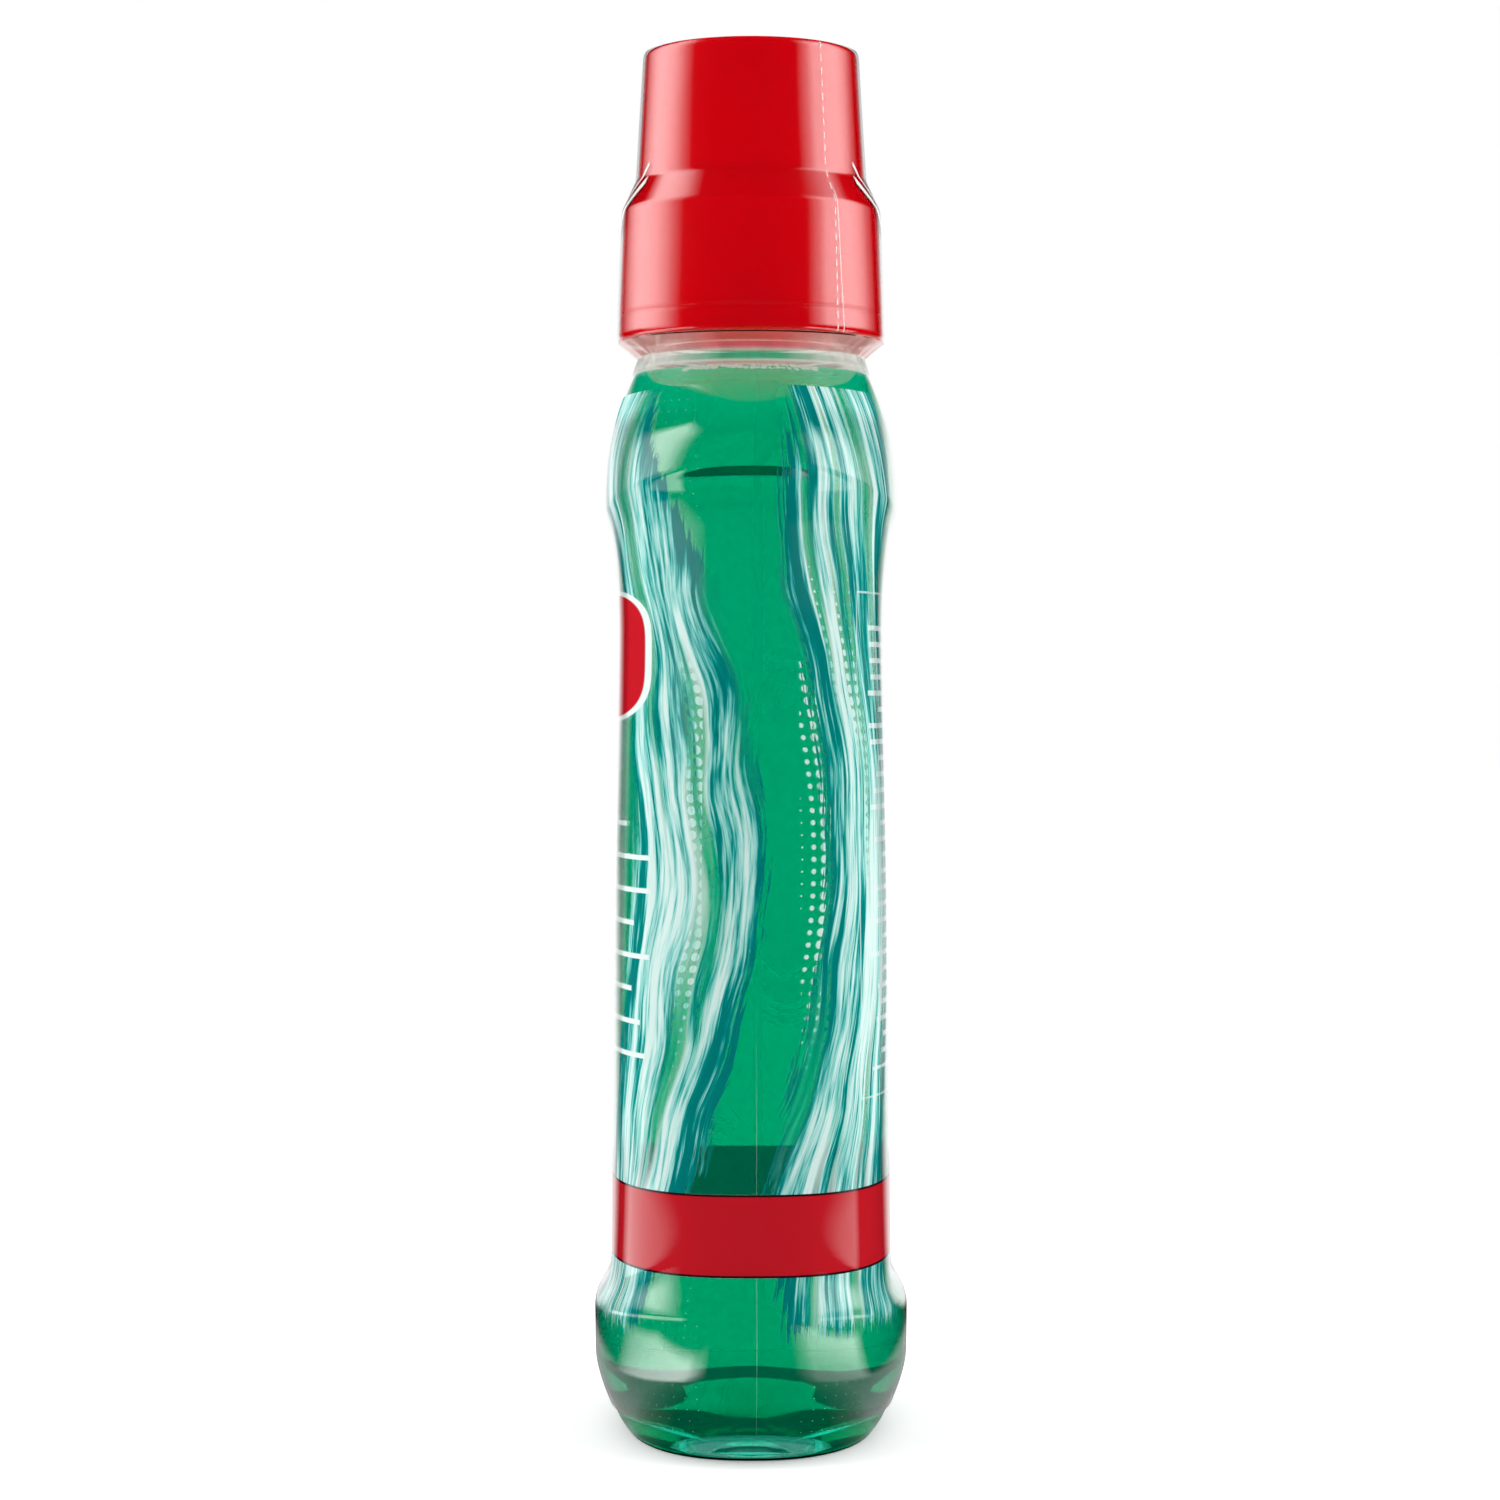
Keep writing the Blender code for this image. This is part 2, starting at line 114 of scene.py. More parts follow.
# Cap.
CAP_FOOT, CAP_TOP = (corner.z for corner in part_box("dosing_cap"))
CAP_TOP_RADIUS = 0.01745
CAP_TOP_ROUND = 0.0012
CUP_FOOT_RADIUS = 0.0188
CUP_ROUND = 0.0020
CAP_SHOULDER = CAP_TOP - 0.0266
CAP_SHOULDER_LENGTH = 0.0050
SKIRT_TOP_RADIUS = 0.0211
SKIRT_TOP_ROUND = 0.0018
SKIRT_FOOT_RADIUS = 0.0219
SKIRT_FOOT_ROUND = 0.0008
SKIRT_WALL = 0.0012
CUP_WALL = 0.0013
CUP_FLOOR = 0.0014
CUP_FLOOR_ROUND = 0.0015
INNER_SKIRT_RADIUS = 0.0175
INNER_SKIRT_WALL = 0.0012
INNER_SKIRT_LIFT = 0.0008
SEAT_WIDTH = 0.0024
SEAT_HEIGHT = 0.0012
DOSE_LINE_DROP = 0.0228
DOSE_LINE_WIDTH = 0.0010
DOSE_LINE_HEIGHT = 0.0004
GROOVE_HEIGHT = 0.0036
GROOVE_DEPTH = 0.00015
GROOVE_WIDTH = 0.0007

# The corners of the cap's outside that the cap and its film share.
CAP_SIDE = (
    (CAP_TOP_RADIUS, CAP_TOP, CAP_TOP_ROUND),
    (CUP_FOOT_RADIUS, CAP_SHOULDER + CAP_SHOULDER_LENGTH, CUP_ROUND),
    (SKIRT_TOP_RADIUS, CAP_SHOULDER, SKIRT_TOP_ROUND),
)

# How fast the liquid's climb at the wall dies away inwards, and how far in the rings of its top
# lie, as shares of the way to the axis: close together where it climbs, then evenly.
MENISCUS_REACH = 0.0014
CLIMB_SHARES = np.linspace(0, 0.2, 16) ** 1.5
LEVEL_SHARES = np.linspace(0.12, 0.95, 14)

# Froth on the near side, in radians to either side, and the rings and steps of one bubble.
BUBBLE_COUNT = 190
BUBBLE_SPREAD = 0.52
BUBBLE_SIZES = (0.00012, 0.00050)
BUBBLE_STAND_OFF = (1.0, 2.6)
BUBBLE_RISE = (-0.0012, 0.0003)
BUBBLE_GRID = (5, 8)

# Film: its gap and wall, how far down the round of the cap's top it ends, and where the sleeve
# leaves the shoulder for the tent under the cap.
FILM_GAP = 0.0003
FILM_WALL = 0.00008
FILM_END_SHARE = 0.4
TUCK_DROP = 0.0006
NOTCH_RISE = 0.0012
TENT_REACH = 0.0036
TENT_CURVE = 1.15
TENT_RINGS = 14

# Folds of the film round the neck's notch and ripples of the film on the cap. Each wave has its
# count round the axis, its slant for each metre up and its shift.
FOLD_DEPTH = 0.00045
FOLD_HEIGHT = 0.0022
FOLD_WAVES = ((17, 0, 1.3), (29, 400, 0.4))
RIPPLE_DEPTH = 0.00003
RIPPLE_WAVES = ((3, 90, 0), (7, -150, 0))


def length_setting(name, description, default):
    """A length that a user would change."""
    return bpy.props.FloatProperty(
        name=name, description=description, default=default, precision=5, unit="LENGTH"
    )


def colour_setting(name, description, default):
    """A colour that a user would change."""
    return bpy.props.FloatVectorProperty(
        name=name,
        description=description,
        default=default,
        subtype="COLOR",
        size=3,
        min=0.0,
        max=1.0,
    )


class BottleSettings(bpy.types.PropertyGroup):
    """Sizes and colours of the bottle that a user would change."""

    fill_height: length_setting(
        "Fill height", "Height of the liquid's level above the foot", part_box("mouthwash")[1].z
    )
    wall: length_setting("Bottle wall", "Thickness of the blown wall", 0.0005)
    meniscus: length_setting("Meniscus", "How far the liquid climbs the wall", 0.0006)
    liquid_colour: colour_setting(
        "Liquid colour", "Colour that the liquid lets through", (0.0, 0.899, 0.816)
    )
    liquid_density: bpy.props.FloatProperty(
        name="Liquid density",
        description="How strongly the liquid colours light, for each metre",
        default=140.0,
    )
    cap_colour: colour_setting("Cap colour", "Colour of the moulded cap", (0.68, 0.0003, 0.004))
    band_colour: colour_setting("Band colour", "Colour of the printed band", (0.60, 0.012, 0.022))
    pale_ink: colour_setting("Pale ink", "Lightest ink of the ribbons", (0.80, 0.95, 0.93))
    teal_ink: colour_setting("Teal ink", "Darkest ink of the ribbons", (0.0, 0.20, 0.20))


def settings():
    """The scene's bottle settings."""
    return bpy.context.scene.mouthwash_bottle


ROUND_ANGLES = math.pi / 2 + np.linspace(0, 2 * math.pi, ROUND_STEPS, endpoint=False)


def smooth_rows(rows, counts):
    """Rows of numbers joined by a cubic that never swings past them: in each gap the value is low
    (1 + 2t)(1 - t)^2 + high t^2 (3 - 2t) plus the end slopes, which are the harmonic means of the
    rises."""
    rows = np.array(rows, float)
    rises = np.diff(rows, axis=0)
    before, after = rises[:-1], rises[1:]
    same_way = before * after > 0
    sums = np.where(same_way, before + after, 1.0)
    slopes = np.zeros_like(rows)
    slopes[1:-1] = np.where(same_way, 2 * before * after / sums, 0.0)
    slopes[0], slopes[-1] = rises[0], rises[-1]
    gap = np.repeat(np.arange(len(counts)), counts)
    t = np.concatenate([np.arange(count) / count for count in counts])[:, None]
    curve = rows[gap] * (1 + 2 * t) * (1 - t) ** 2 + slopes[gap] * t * (1 - t) ** 2
    curve += rows[gap + 1] * t * t * (3 - 2 * t) + slopes[gap + 1] * t * t * (t - 1)
    return np.vstack([curve, rows[-1:]])


def outline_rings(rows):
    """Level outlines of the bottle. Each is a superellipse in polar form, with radius
    (|cos / a|^n + |sin / b|^n)^(-1/n), and its height rises to the narrow sides with |y / b|^n."""
    height, lift, depth, width, power = (column[:, None] for column in np.array(rows).T)
    across, along = np.cos(ROUND_ANGLES), np.sin(ROUND_ANGLES)
    radius = np.abs(2 * across / depth) ** power + np.abs(2 * along / width) ** power
    x, y = radius ** (-1 / power) * across, radius ** (-1 / power) * along
    return np.stack([x, y, height + lift * np.abs(2 * y / width) ** power], axis=2)


def punt_rows():
    """The hollow under the foot: a dome whose height falls with the cosine as its outline grows
    with the sine of one angle."""
    angle = math.pi / 2 * np.arange(1, PUNT_RINGS + 1) / PUNT_RINGS
    share, height = np.sin(angle), PUNT_RISE * np.cos(angle)
    depth, width = FOOT_LEVEL[2] - 2 * FOOT_BAND, FOOT_LEVEL[3] - 2 * FOOT_BAND
    flat = np.zeros_like(share)
    return np.stack([height, flat, depth * share, width * share, flat + FOOT_LEVEL[4]], axis=1)


def shoulder_rows():
    """The shoulder: as its height rises with the sine of an angle, its outline falls to a circle
    with the fullness power of that sine."""
    height, lift, depth, width, power = BODY_LEVELS[-1]
    rise = np.sin(math.pi / 2 * np.arange(1, SHOULDER_RINGS + 1) / SHOULDER_RINGS)
    fall = rise**SHOULDER_FULLNESS
    across = 2 * SHOULDER_RADIUS
    rows = [
        height + SHOULDER_RISE * rise,
        lift * (1 - rise),
        depth + (across - depth) * fall,
        width + (across - width) * fall,
        power + (2 - power) * rise,
    ]
    return np.stack(rows, axis=1)


def body_rows():
    """All levels of the bottle's outside from the middle of the punt to the shoulder's top."""
    return np.vstack([punt_rows(), smooth_rows(BODY_LEVELS, BODY_RINGS), shoulder_rows()])


def moved_out(grid, distance):
    """The rings moved by a distance, or by one for each ring, along the surface's outward normals,
    which are the cross products of the steps round and up."""
    around = np.roll(grid, -1, axis=1) - np.roll(grid, 1, axis=1)
    up = np.gradient(grid, axis=0)
    normals = np.cross(around, up)
    normals /= np.linalg.norm(normals, axis=2, keepdims=True)
    return grid + np.reshape(distance, (-1, 1, 1)) * normals


def rounded(*corners):
    """An outline of (radius, height) points from corners (radius, height, fillet): a corner with a
    fillet becomes the arc of that radius that touches both its sides."""
    points = []
    for i, (x, z, fillet) in enumerate(corners):
        here = np.array([[x, z]])
        if fillet:
            before = np.array(corners[i - 1][:2]) - here[0]
            after = np.array(corners[i + 1][:2]) - here[0]
            before /= np.linalg.norm(before)
            after /= np.linalg.norm(after)
            half = math.acos(float(before @ after)) / 2
            inwards = (before + after) / np.linalg.norm(before + after)
            middle = here[0] + inwards * fillet / math.sin(half)
            first = here[0] + before * fillet / math.tan(half) - middle
            last = here[0] + after * fillet / math.tan(half) - middle
            turn = math.pi - 2 * half
            t = np.linspace(0, 1, ARC_STEPS + 1)[:, None]
            arc = np.sin((1 - t) * turn) * first + np.sin(t * turn) * last
            here = middle + arc / math.sin(turn)
        points.append(here)
    return np.vstack(points)


def resampled(outline):
    """The outline with its own points and more between them, at most the spacing apart along it."""
    steps = np.linalg.norm(np.diff(outline, axis=0), axis=1)
    reach = np.concatenate([[0], np.cumsum(steps)])
    stations = np.union1d(reach, np.arange(0, reach[-1], OUTLINE_SPACING))
    return np.stack([np.interp(stations, reach, outline[:, k]) for k in (0, 1)], axis=1)


def offset_outline(outline, distance):
    """An open outline moved to its left by a distance, with mitred corners."""
    steps = np.diff(outline, axis=0)
    steps /= np.linalg.norm(steps, axis=1, keepdims=True)
    left = np.stack([-steps[:, 1], steps[:, 0]], axis=1)
    before, after = np.vstack([left[:1], left]), np.vstack([left, left[-1:]])
    mitre = before + after
    mitre /= np.sum(mitre * before, axis=1, keepdims=True)
    return outline + distance * mitre


def turned(outline, angles=ROUND_ANGLES, swell=0.0):
    """Rings turned about the axis from (radius, height) points. Swell is added to the radius, and
    may differ at each point."""
    radius = outline[:, :1] + swell
    x, y = radius * np.cos(angles), radius * np.sin(angles)
    return np.stack([x, y, np.broadcast_to(outline[:, 1:], x.shape)], axis=2)


def waves(table, height):
    """A sum of waves round the axis: sin(count * angle + slant * height + shift) for each."""
    return sum(
        np.sin(count * ROUND_ANGLES + slant * height + shift) for count, slant, shift in table
    )


def thread_ridge(heights, low):
    """How far a right-handed thread stands out at each height and angle, as a share of its depth.
    It is the root of a cosine hump about the height low + lead * turn, and fades in and out at its
    ends."""
    turn = (ROUND_ANGLES - ROUND_ANGLES[0]) / (2 * math.pi)
    ridge = np.zeros((len(heights), ROUND_STEPS))
    for lap in range(math.ceil(THREAD_TURNS) + 1):
        along = turn + lap
        away = np.abs(heights[:, None] - low - THREAD_LEAD * along) / THREAD_HALF_WIDTH
        hump = 0.5 + 0.5 * np.cos(math.pi * np.clip(away, 0, 1))
        fade_in = np.clip(along / THREAD_FADE, 0, 1)
        fade_out = np.clip((THREAD_TURNS - along) / THREAD_FADE, 0, 1)
        ridge = np.maximum(ridge, np.sqrt(hump) * fade_in * fade_out)
    return ridge


def quads(rings, steps, wrapped=False, seam=0):
    """The corners of the quads between neighbouring rings, and from the last ring to the first
    where it is wrapped. With a seam of 1 each ring ends in one more point, which its first doesn't
    share."""
    wide = steps + seam
    low = np.arange(rings if wrapped else rings - 1)[:, None]
    high = (low + 1) % rings
    here = np.arange(steps)
    there = (here + 1) % wide
    corners = [low * wide + here, low * wide + there, high * wide + there, high * wide + here]
    return np.stack(corners, axis=2).reshape(-1, 4)


def fans(rings, steps):
    """Triangles from the first ring to a pole, which follows the rings' points, and from the last
    ring to the pole after it."""
    here = np.arange(steps)
    there = np.roll(here, -1)
    tip = np.full(steps, rings * steps)
    last = (rings - 1) * steps
    first_fan = np.stack([there, here, tip], axis=1)
    last_fan = np.stack([tip + 1, last + here, last + there], axis=1)
    return [*first_fan.tolist(), *last_fan.tolist()]


def mesh_of(name, points, faces):
    """A new mesh of points and faces."""
    made = bpy.data.meshes.new(name)
    made.from_pydata(points, [], faces)
    return made


def ring_mesh(name, grid, poles=(), wrapped=False, places=None):
    """A mesh over rings of points, closed by two poles or by wrapping. Places are UVs with one more
    column than the rings."""
    rings, steps, _ = grid.shape
    faces = quads(rings, steps, wrapped).tolist() + (fans(rings, steps) if poles else [])
    mesh = mesh_of(name, np.vstack([grid.reshape(-1, 3), *poles]), faces)
    if places is not None:
        corners = quads(rings, steps, wrapped, seam=1).ravel()
        layer = mesh.uv_layers.new(name="places")
        layer.data.foreach_set("uv", places.reshape(-1, 2)[corners].astype(np.float32).ravel())
    return face_out(mesh)


def face_out(mesh):
    """Turns a closed mesh's faces outwards: its volume, the sum of its corner triangles' triple
    products, is made positive. Then it is shaded smooth, save at sharp corners."""
    mesh.update()
    mesh.calc_loop_triangles()
    corners = np.empty(len(mesh.loop_triangles) * 3, np.int32)
    mesh.loop_triangles.foreach_get("vertices", corners)
    points = np.empty(len(mesh.vertices) * 3, np.float32)
    mesh.vertices.foreach_get("co", points)
    a, b, c = points.reshape(-1, 3).astype(float)[corners.reshape(-1, 3)].transpose(1, 0, 2)
    if np.sum(a * np.cross(b, c)) < 0:
        mesh.flip_normals()
    mesh.shade_smooth()
    mesh.set_sharp_from_angle(angle=math.radians(SHARP_ANGLE))
    return mesh


def mark(mesh, name, values):
    """Gives a mesh's points a named number each."""
    layer = mesh.attributes.new(name, "FLOAT", "POINT")
    layer.data.foreach_set("value", np.asarray(values, np.float32))
    return mesh


def placed(name, data):
    """A new object of this data, in the scene."""
    made = bpy.data.objects.new(name, data)
    bpy.context.scene.collection.objects.link(made)
    return made


def piece(name, mesh, finish, body, replaces=()):
    """Puts a mesh in the scene as a piece with its finish, on its body and in its material slot."""
    made = placed(name, mesh)
    mesh.materials.append(finish)
    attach(made, body)
    if replaces:
        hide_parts(*replaces)


class Value:
    """What a node puts out: a number, a colour, a vector or a shader. Arithmetic on it adds
    nodes."""

    def __init__(self, socket):
        self.socket = socket

    def __abs__(self):
        return calc("ABSOLUTE", self)

    def __add__(self, other):
        return calc("ADD", self, other)

    def __sub__(self, other):
        return calc("SUBTRACT", self, other)

    def __rsub__(self, other):
        return calc("SUBTRACT", other, self)

    def __mul__(self, other):
        return calc("MULTIPLY", self, other)

    def __truediv__(self, other):
        return calc("DIVIDE", self, other)


def tree_of(*values):
    """The node tree of the first of these that isn't a plain number or colour."""
    return next(value.socket.id_data for value in values if isinstance(value, Value))


def join(value, socket):
    """Links a value into a socket, or sets it there if it is a plain number or colour."""
    if isinstance(value, Value):
        socket.id_data.links.new(value.socket, socket)
    else:
        socket.default_value = value


def node(tree, kind, inputs=(), **properties):
    """A node with its properties and inputs set."""
    made = tree.nodes.new("ShaderNode" + kind)
    for key, value in properties.items():
        setattr(made, key, value)
    for key, value in dict(inputs).items():
        join(value, made.inputs[key])
    return made


def add(tree, kind, inputs=(), out=0, **properties):
    """What a new node puts out at one of its sockets."""
    return Value(node(tree, kind, inputs, **properties).outputs[out])


def calc(operation, *values):
    """The result of a Math node."""
    return add(tree_of(*values), "Math", enumerate(values), operation=operation)


def vector(operation, *values, out="Vector"):
    """The result of a Vector Math node."""
    return add(tree_of(*values), "VectorMath", enumerate(values), out, operation=operation)


def most(*values):
    """The highest of several numbers."""
    first, *others = values
    for other in others:
        first = calc("MAXIMUM", first, other)
    return first


def parts(whole):
    """The three parts of a vector."""
    made = node(tree_of(whole), "SeparateXYZ", {0: whole})
    return [Value(socket) for socket in made.outputs]


def spot(x, y):
    """The vector (x, y, 0)."""
    return add(tree_of(x, y), "CombineXYZ", {"X": x, "Y": y})


def spread(value, start, end, low=0.0, high=1.0):
    """Low at the start, high at the end and evenly between, whichever of them is the higher."""
    limits = {"From Min": start, "From Max": end, "To Min": low, "To Max": high}
    return add(tree_of(value), "MapRange", {"Value": value, **limits})


def between(value, low, high, soft):
    """1 where the value lies between low and high, and 0 outside, with edges that are soft wide."""
    return spread(value, low, low + soft) * spread(value, high - soft, high, 1.0, 0.0)


def inside_of(value, limit, soft=0.1):
    """1 where the value is under the limit, and 0 over it, with an edge that is soft wide."""
    return spread(value - limit, 0.0, soft, 1.0, 0.0)


def mixed(share, first, second):
    """A colour mixed from two by a share."""
    return add(tree_of(share), "Mix", {0: share, 6: first, 7: second}, 2, data_type="RGBA")


def blend(share, first, second):
    """A shader mixed from two by a share."""
    return add(tree_of(first), "MixShader", {0: share, 1: first, 2: second})


def colour(values):
    """A colour of three values with full alpha."""
    return (*values, 1.0)


WHITE = colour((1.0, 1.0, 1.0))


def ramp(value, stops):
    """A colour that follows (position, colour) stops."""
    made = node(tree_of(value), "ValToRGB", {"Fac": value})
    steps = made.color_ramp.elements
    first, *others, last = stops
    steps[0].position, steps[0].color = first[0], colour(first[1])
    steps[1].position, steps[1].color = last[0], colour(last[1])
    for position, tint in others:
        steps.new(position).color = colour(tint)
    return Value(made.outputs[0])


def levels(value, stops):
    """A brightness that follows (position, level) stops."""
    return ramp(value, [(position, [level] * 3) for position, level in stops])


def noise(place, scale, detail=2.0, rough=0.5):
    """A noise pattern's strength at a place."""
    pattern = {"Vector": place, "Scale": scale, "Detail": detail, "Roughness": rough}
    return add(tree_of(place), "TexNoise", pattern)


def bumped(height, strength, distance):
    """The normal that a height gives."""
    inputs = {"Height": height, "Strength": strength, "Distance": distance}
    return add(tree_of(height), "Bump", inputs)


def object_place(tree):
    """The place on a piece in its own coordinates."""
    return add(tree, "TexCoord", out="Object")


def material(name, build):
    """A material whose surface, and volume if there is one, a function makes in its tree."""
    made = bpy.data.materials.new(name)
    made.use_nodes = True
    made.node_tree.nodes.clear()
    output = node(made.node_tree, "OutputMaterial")
    for shader, socket in zip(build(made.node_tree), output.inputs):
        join(shader, socket)
    return made


def wetted(shader, index, normal=None):
    """A clear material's shader, which only bends light, and mirrors none, where liquid and wall
    touch."""
    tree = tree_of(shader)
    bends = {"Color": WHITE, "Roughness": 0.0, "IOR": index}
    if normal:
        bends["Normal"] = normal
    touched = add(tree, "Attribute", out="Fac", attribute_name="wetted")
    return blend(touched, shader, add(tree, "BsdfRefraction", bends))


PET_INDEX = 1.57
LIQUID_INDEX = 1.333

# Painted glow of the liquid: light that its volume gives off for each metre of it, in place of
# light that it would scatter, and its colour.
LIQUID_GLOW_STRENGTH = 1.3
LIQUID_GLOW_COLOUR = colour((0.0, 1.0, 0.86))


def clear_plastic(tree):
    """Blown PET: clear, with the slight ripple of a blown wall."""
    ripple = bumped(noise(object_place(tree), 60.0, 1.0), 0.06, 0.001)
    glass = {
        "Base Color": (0.985, 0.995, 0.99, 1.0),
        "Roughness": 0.0,
        "IOR": PET_INDEX,
        "Transmission Weight": 1.0,
        "Normal": ripple,
    }
    return (wetted(add(tree, "BsdfPrincipled", glass), PET_INDEX, ripple),)


def green_liquid(tree):
    """Clear green mouthwash, whose colour deepens with its depth, with a painted glow: its volume
    gives off a little light, in place of light scattered in it."""
    clear = {"Base Color": WHITE, "Roughness": 0.0, "IOR": LIQUID_INDEX, "Transmission Weight": 1.0}
    tint = {"Color": colour(settings().liquid_colour), "Density": settings().liquid_density}
    depth = add(tree, "VolumeAbsorption", tint)
    # Painted glow: the liquid's volume emits light, standing in for light that it would scatter.
    painted_liquid_glow = add(tree, "Emission", {"Color": LIQUID_GLOW_COLOUR, "Strength": LIQUID_GLOW_STRENGTH})
    volume = add(tree, "AddShader", {0: depth, 1: painted_liquid_glow})
    return wetted(add(tree, "BsdfPrincipled", clear), LIQUID_INDEX), volume


def red_plastic(tree):
    """Moulded red polypropylene: glossy, with a fine orange peel and slight unevenness of gloss."""
    place = object_place(tree)
    cloud = noise(place, 70.0, 3.0)
    red, green, blue = settings().cap_colour
    shade = {
        "Base Color": mixed(cloud, (red, green, blue, 1.0), (red * 0.93, green, blue * 1.2, 1.0)),
        "Roughness": spread(cloud, 0.0, 1.0, 0.07, 0.13),
        "Normal": bumped(noise(place, 900.0), 0.05, 0.0003),
    }
    return (add(tree, "BsdfPrincipled", shade),)


def froth_bubbles(tree):
    """Pale froth of tiny bubbles, with a painted glow: six tenths of its shader is emission,
    standing in for the light that goes from bubble to bubble."""
    wet = {
        "Base Color": (0.95, 0.98, 0.96, 1.0),
        "Roughness": 0.08,
        "IOR": 1.33,
        "Transmission Weight": 0.25,
    }
    # Painted glow: the froth gives off this pale light itself.
    lit = add(tree, "Emission", {"Color": (0.70, 0.76, 0.68, 1.0)})
    return (blend(0.6, add(tree, "BsdfPrincipled", wet), lit),)


def seal_foam(tree):
    """Matte white closed-cell foam."""
    cells = noise(object_place(tree), 2500.0)
    foam = {
        "Base Color": mixed(cells, (0.80, 0.80, 0.77, 1.0), (0.90, 0.90, 0.88, 1.0)),
        "Roughness": 0.75,
        "Normal": bumped(cells, 0.3, 0.0002),
    }
    return (add(tree, "BsdfPrincipled", foam),)


FILM_INDEX = 1.5


def oval_normal(tree, share):
    """The surface's normal, turned by a share towards that of an oval of the waist's two widths,
    since the film draws the corners of the waist rounder than the wall."""
    normal = add(tree, "NewGeometry", out="Normal")
    steepness = (WAIST[2] ** -2, WAIST[3] ** -2, 0.0)
    oval = vector("NORMALIZE", vector("MULTIPLY", object_place(tree), steepness))
    to_world = {"vector_type": "NORMAL", "convert_from": "OBJECT", "convert_to": "WORLD"}
    out = add(tree, "VectorTransform", {"Vector": oval}, **to_world)
    same_way = calc("SIGN", vector("DOT_PRODUCT", out, normal, out="Value"))
    return vector("NORMALIZE", mixed(share, normal, vector("MULTIPLY", out, same_way)))


def film_sheen(tree, dulled=0.0, normal=None):
    """Clear film: light goes straight through, save what its surface reflects. Both its faces take
    the same index, since a film so thin never holds light in. Where it clings tightly it is
    dulled."""
    behind = add(tree, "NewGeometry", out="Backfacing")
    index = behind * (1 / FILM_INDEX - FILM_INDEX) + FILM_INDEX
    share = add(tree, "Fresnel", {"IOR": index}) * (1.0 - dulled)
    through = add(tree, "BsdfTransparent", {"Color": (0.99, 0.995, 0.993, 1.0)})
    shine = {"Color": WHITE, "Roughness": 0.03}
    if normal:
        shine["Normal"] = normal
    return blend(share, through, add(tree, "BsdfGlossy", shine))


# The films' UVs: the length round them and their height, in millimetres, and the way from the
# middle of a narrow side to the middle of a broad one.
PRINT_ROUND = 205.0
PRINT_TALL = 200.0
QUARTER = PRINT_ROUND / 4


def film_places(tree):
    """Distances round the film from the near side (s) and up it (z), in millimetres, from its
    UVs."""
    along, up, _ = parts(add(tree, "UVMap", uv_map="places"))
    return along * PRINT_ROUND - PRINT_ROUND / 2, up * PRINT_TALL


def from_side(s):
    """The distance round the film from the middle of the nearest narrow side."""
    return calc("WRAP", s, QUARTER, -QUARTER)


# Ribbons: the line that they follow, their place and half width beside it, how far they part at the
# shoulder and the base (between two heights), where they end, and their shades by tone.
SWING_HEIGHT = 160.0
SWING_PEAK = 95.0
SWING_REACH = 7.0
RIBBON_PLACE = 18.3
RIBBON_HALF_WIDTH = 13.0
RIBBON_FLARES = ((136.0, 170.0, 9.0), (46.0, 18.0, 8.0))
PRINT_FOOT = 21.0
PRINT_HEAD = 168.6
TEAL_TONE, PALE_TONE = 0.44, 0.59
RIBBON_SHADES = (
    (0.465, (0.0, 0.31, 0.29)),
    (0.49, (0.10, 0.50, 0.48)),
    (0.515, (0.28, 0.68, 0.64)),
    (0.55, (0.52, 0.83, 0.80)),
)

# The ribbons' combed lines: how much they wander, lean and stretch, the scale, detail and roughness
# of their patterns, each pattern's weight, how much darker they are at the rims, and how ragged.
WANDER, WANDER_SCALE = 8.0, 0.035
COMB_LEAN = 0.0022
COMB_STRETCH = 0.045
LINES, LINES_WEIGHT = (0.42, 4.0, 0.62), 0.72
FINE, FINE_WEIGHT = (2.0, 3.0, 0.6), 0.35
GAPS, GAPS_WORN = (0.23, 2.0, 0.5), (0.38, 0.49, 0.15, 0.95)
RIM_DARK = (7.0, 12.5, 0.0, 0.12)
RAGGED_SIDE, RAGGED_FOOT = 9.0, 16.0

# Dots beside the ribbons: their pitch and radius, how far out they reach, where they stand, how
# clear of the middle they keep, and their strength. Their ink shows where the ribbons' cover is
# below LEAST_COVER.
DOT_PITCH = 1.9
DOT_RADIUS = 0.36
DOT_REACH = 5.0
DOT_SPAN = (58.0, 142.0, 22.0)
MIDDLE_GAP = 7.6
DOT_COVER = 0.8
LEAST_COVER = 0.02


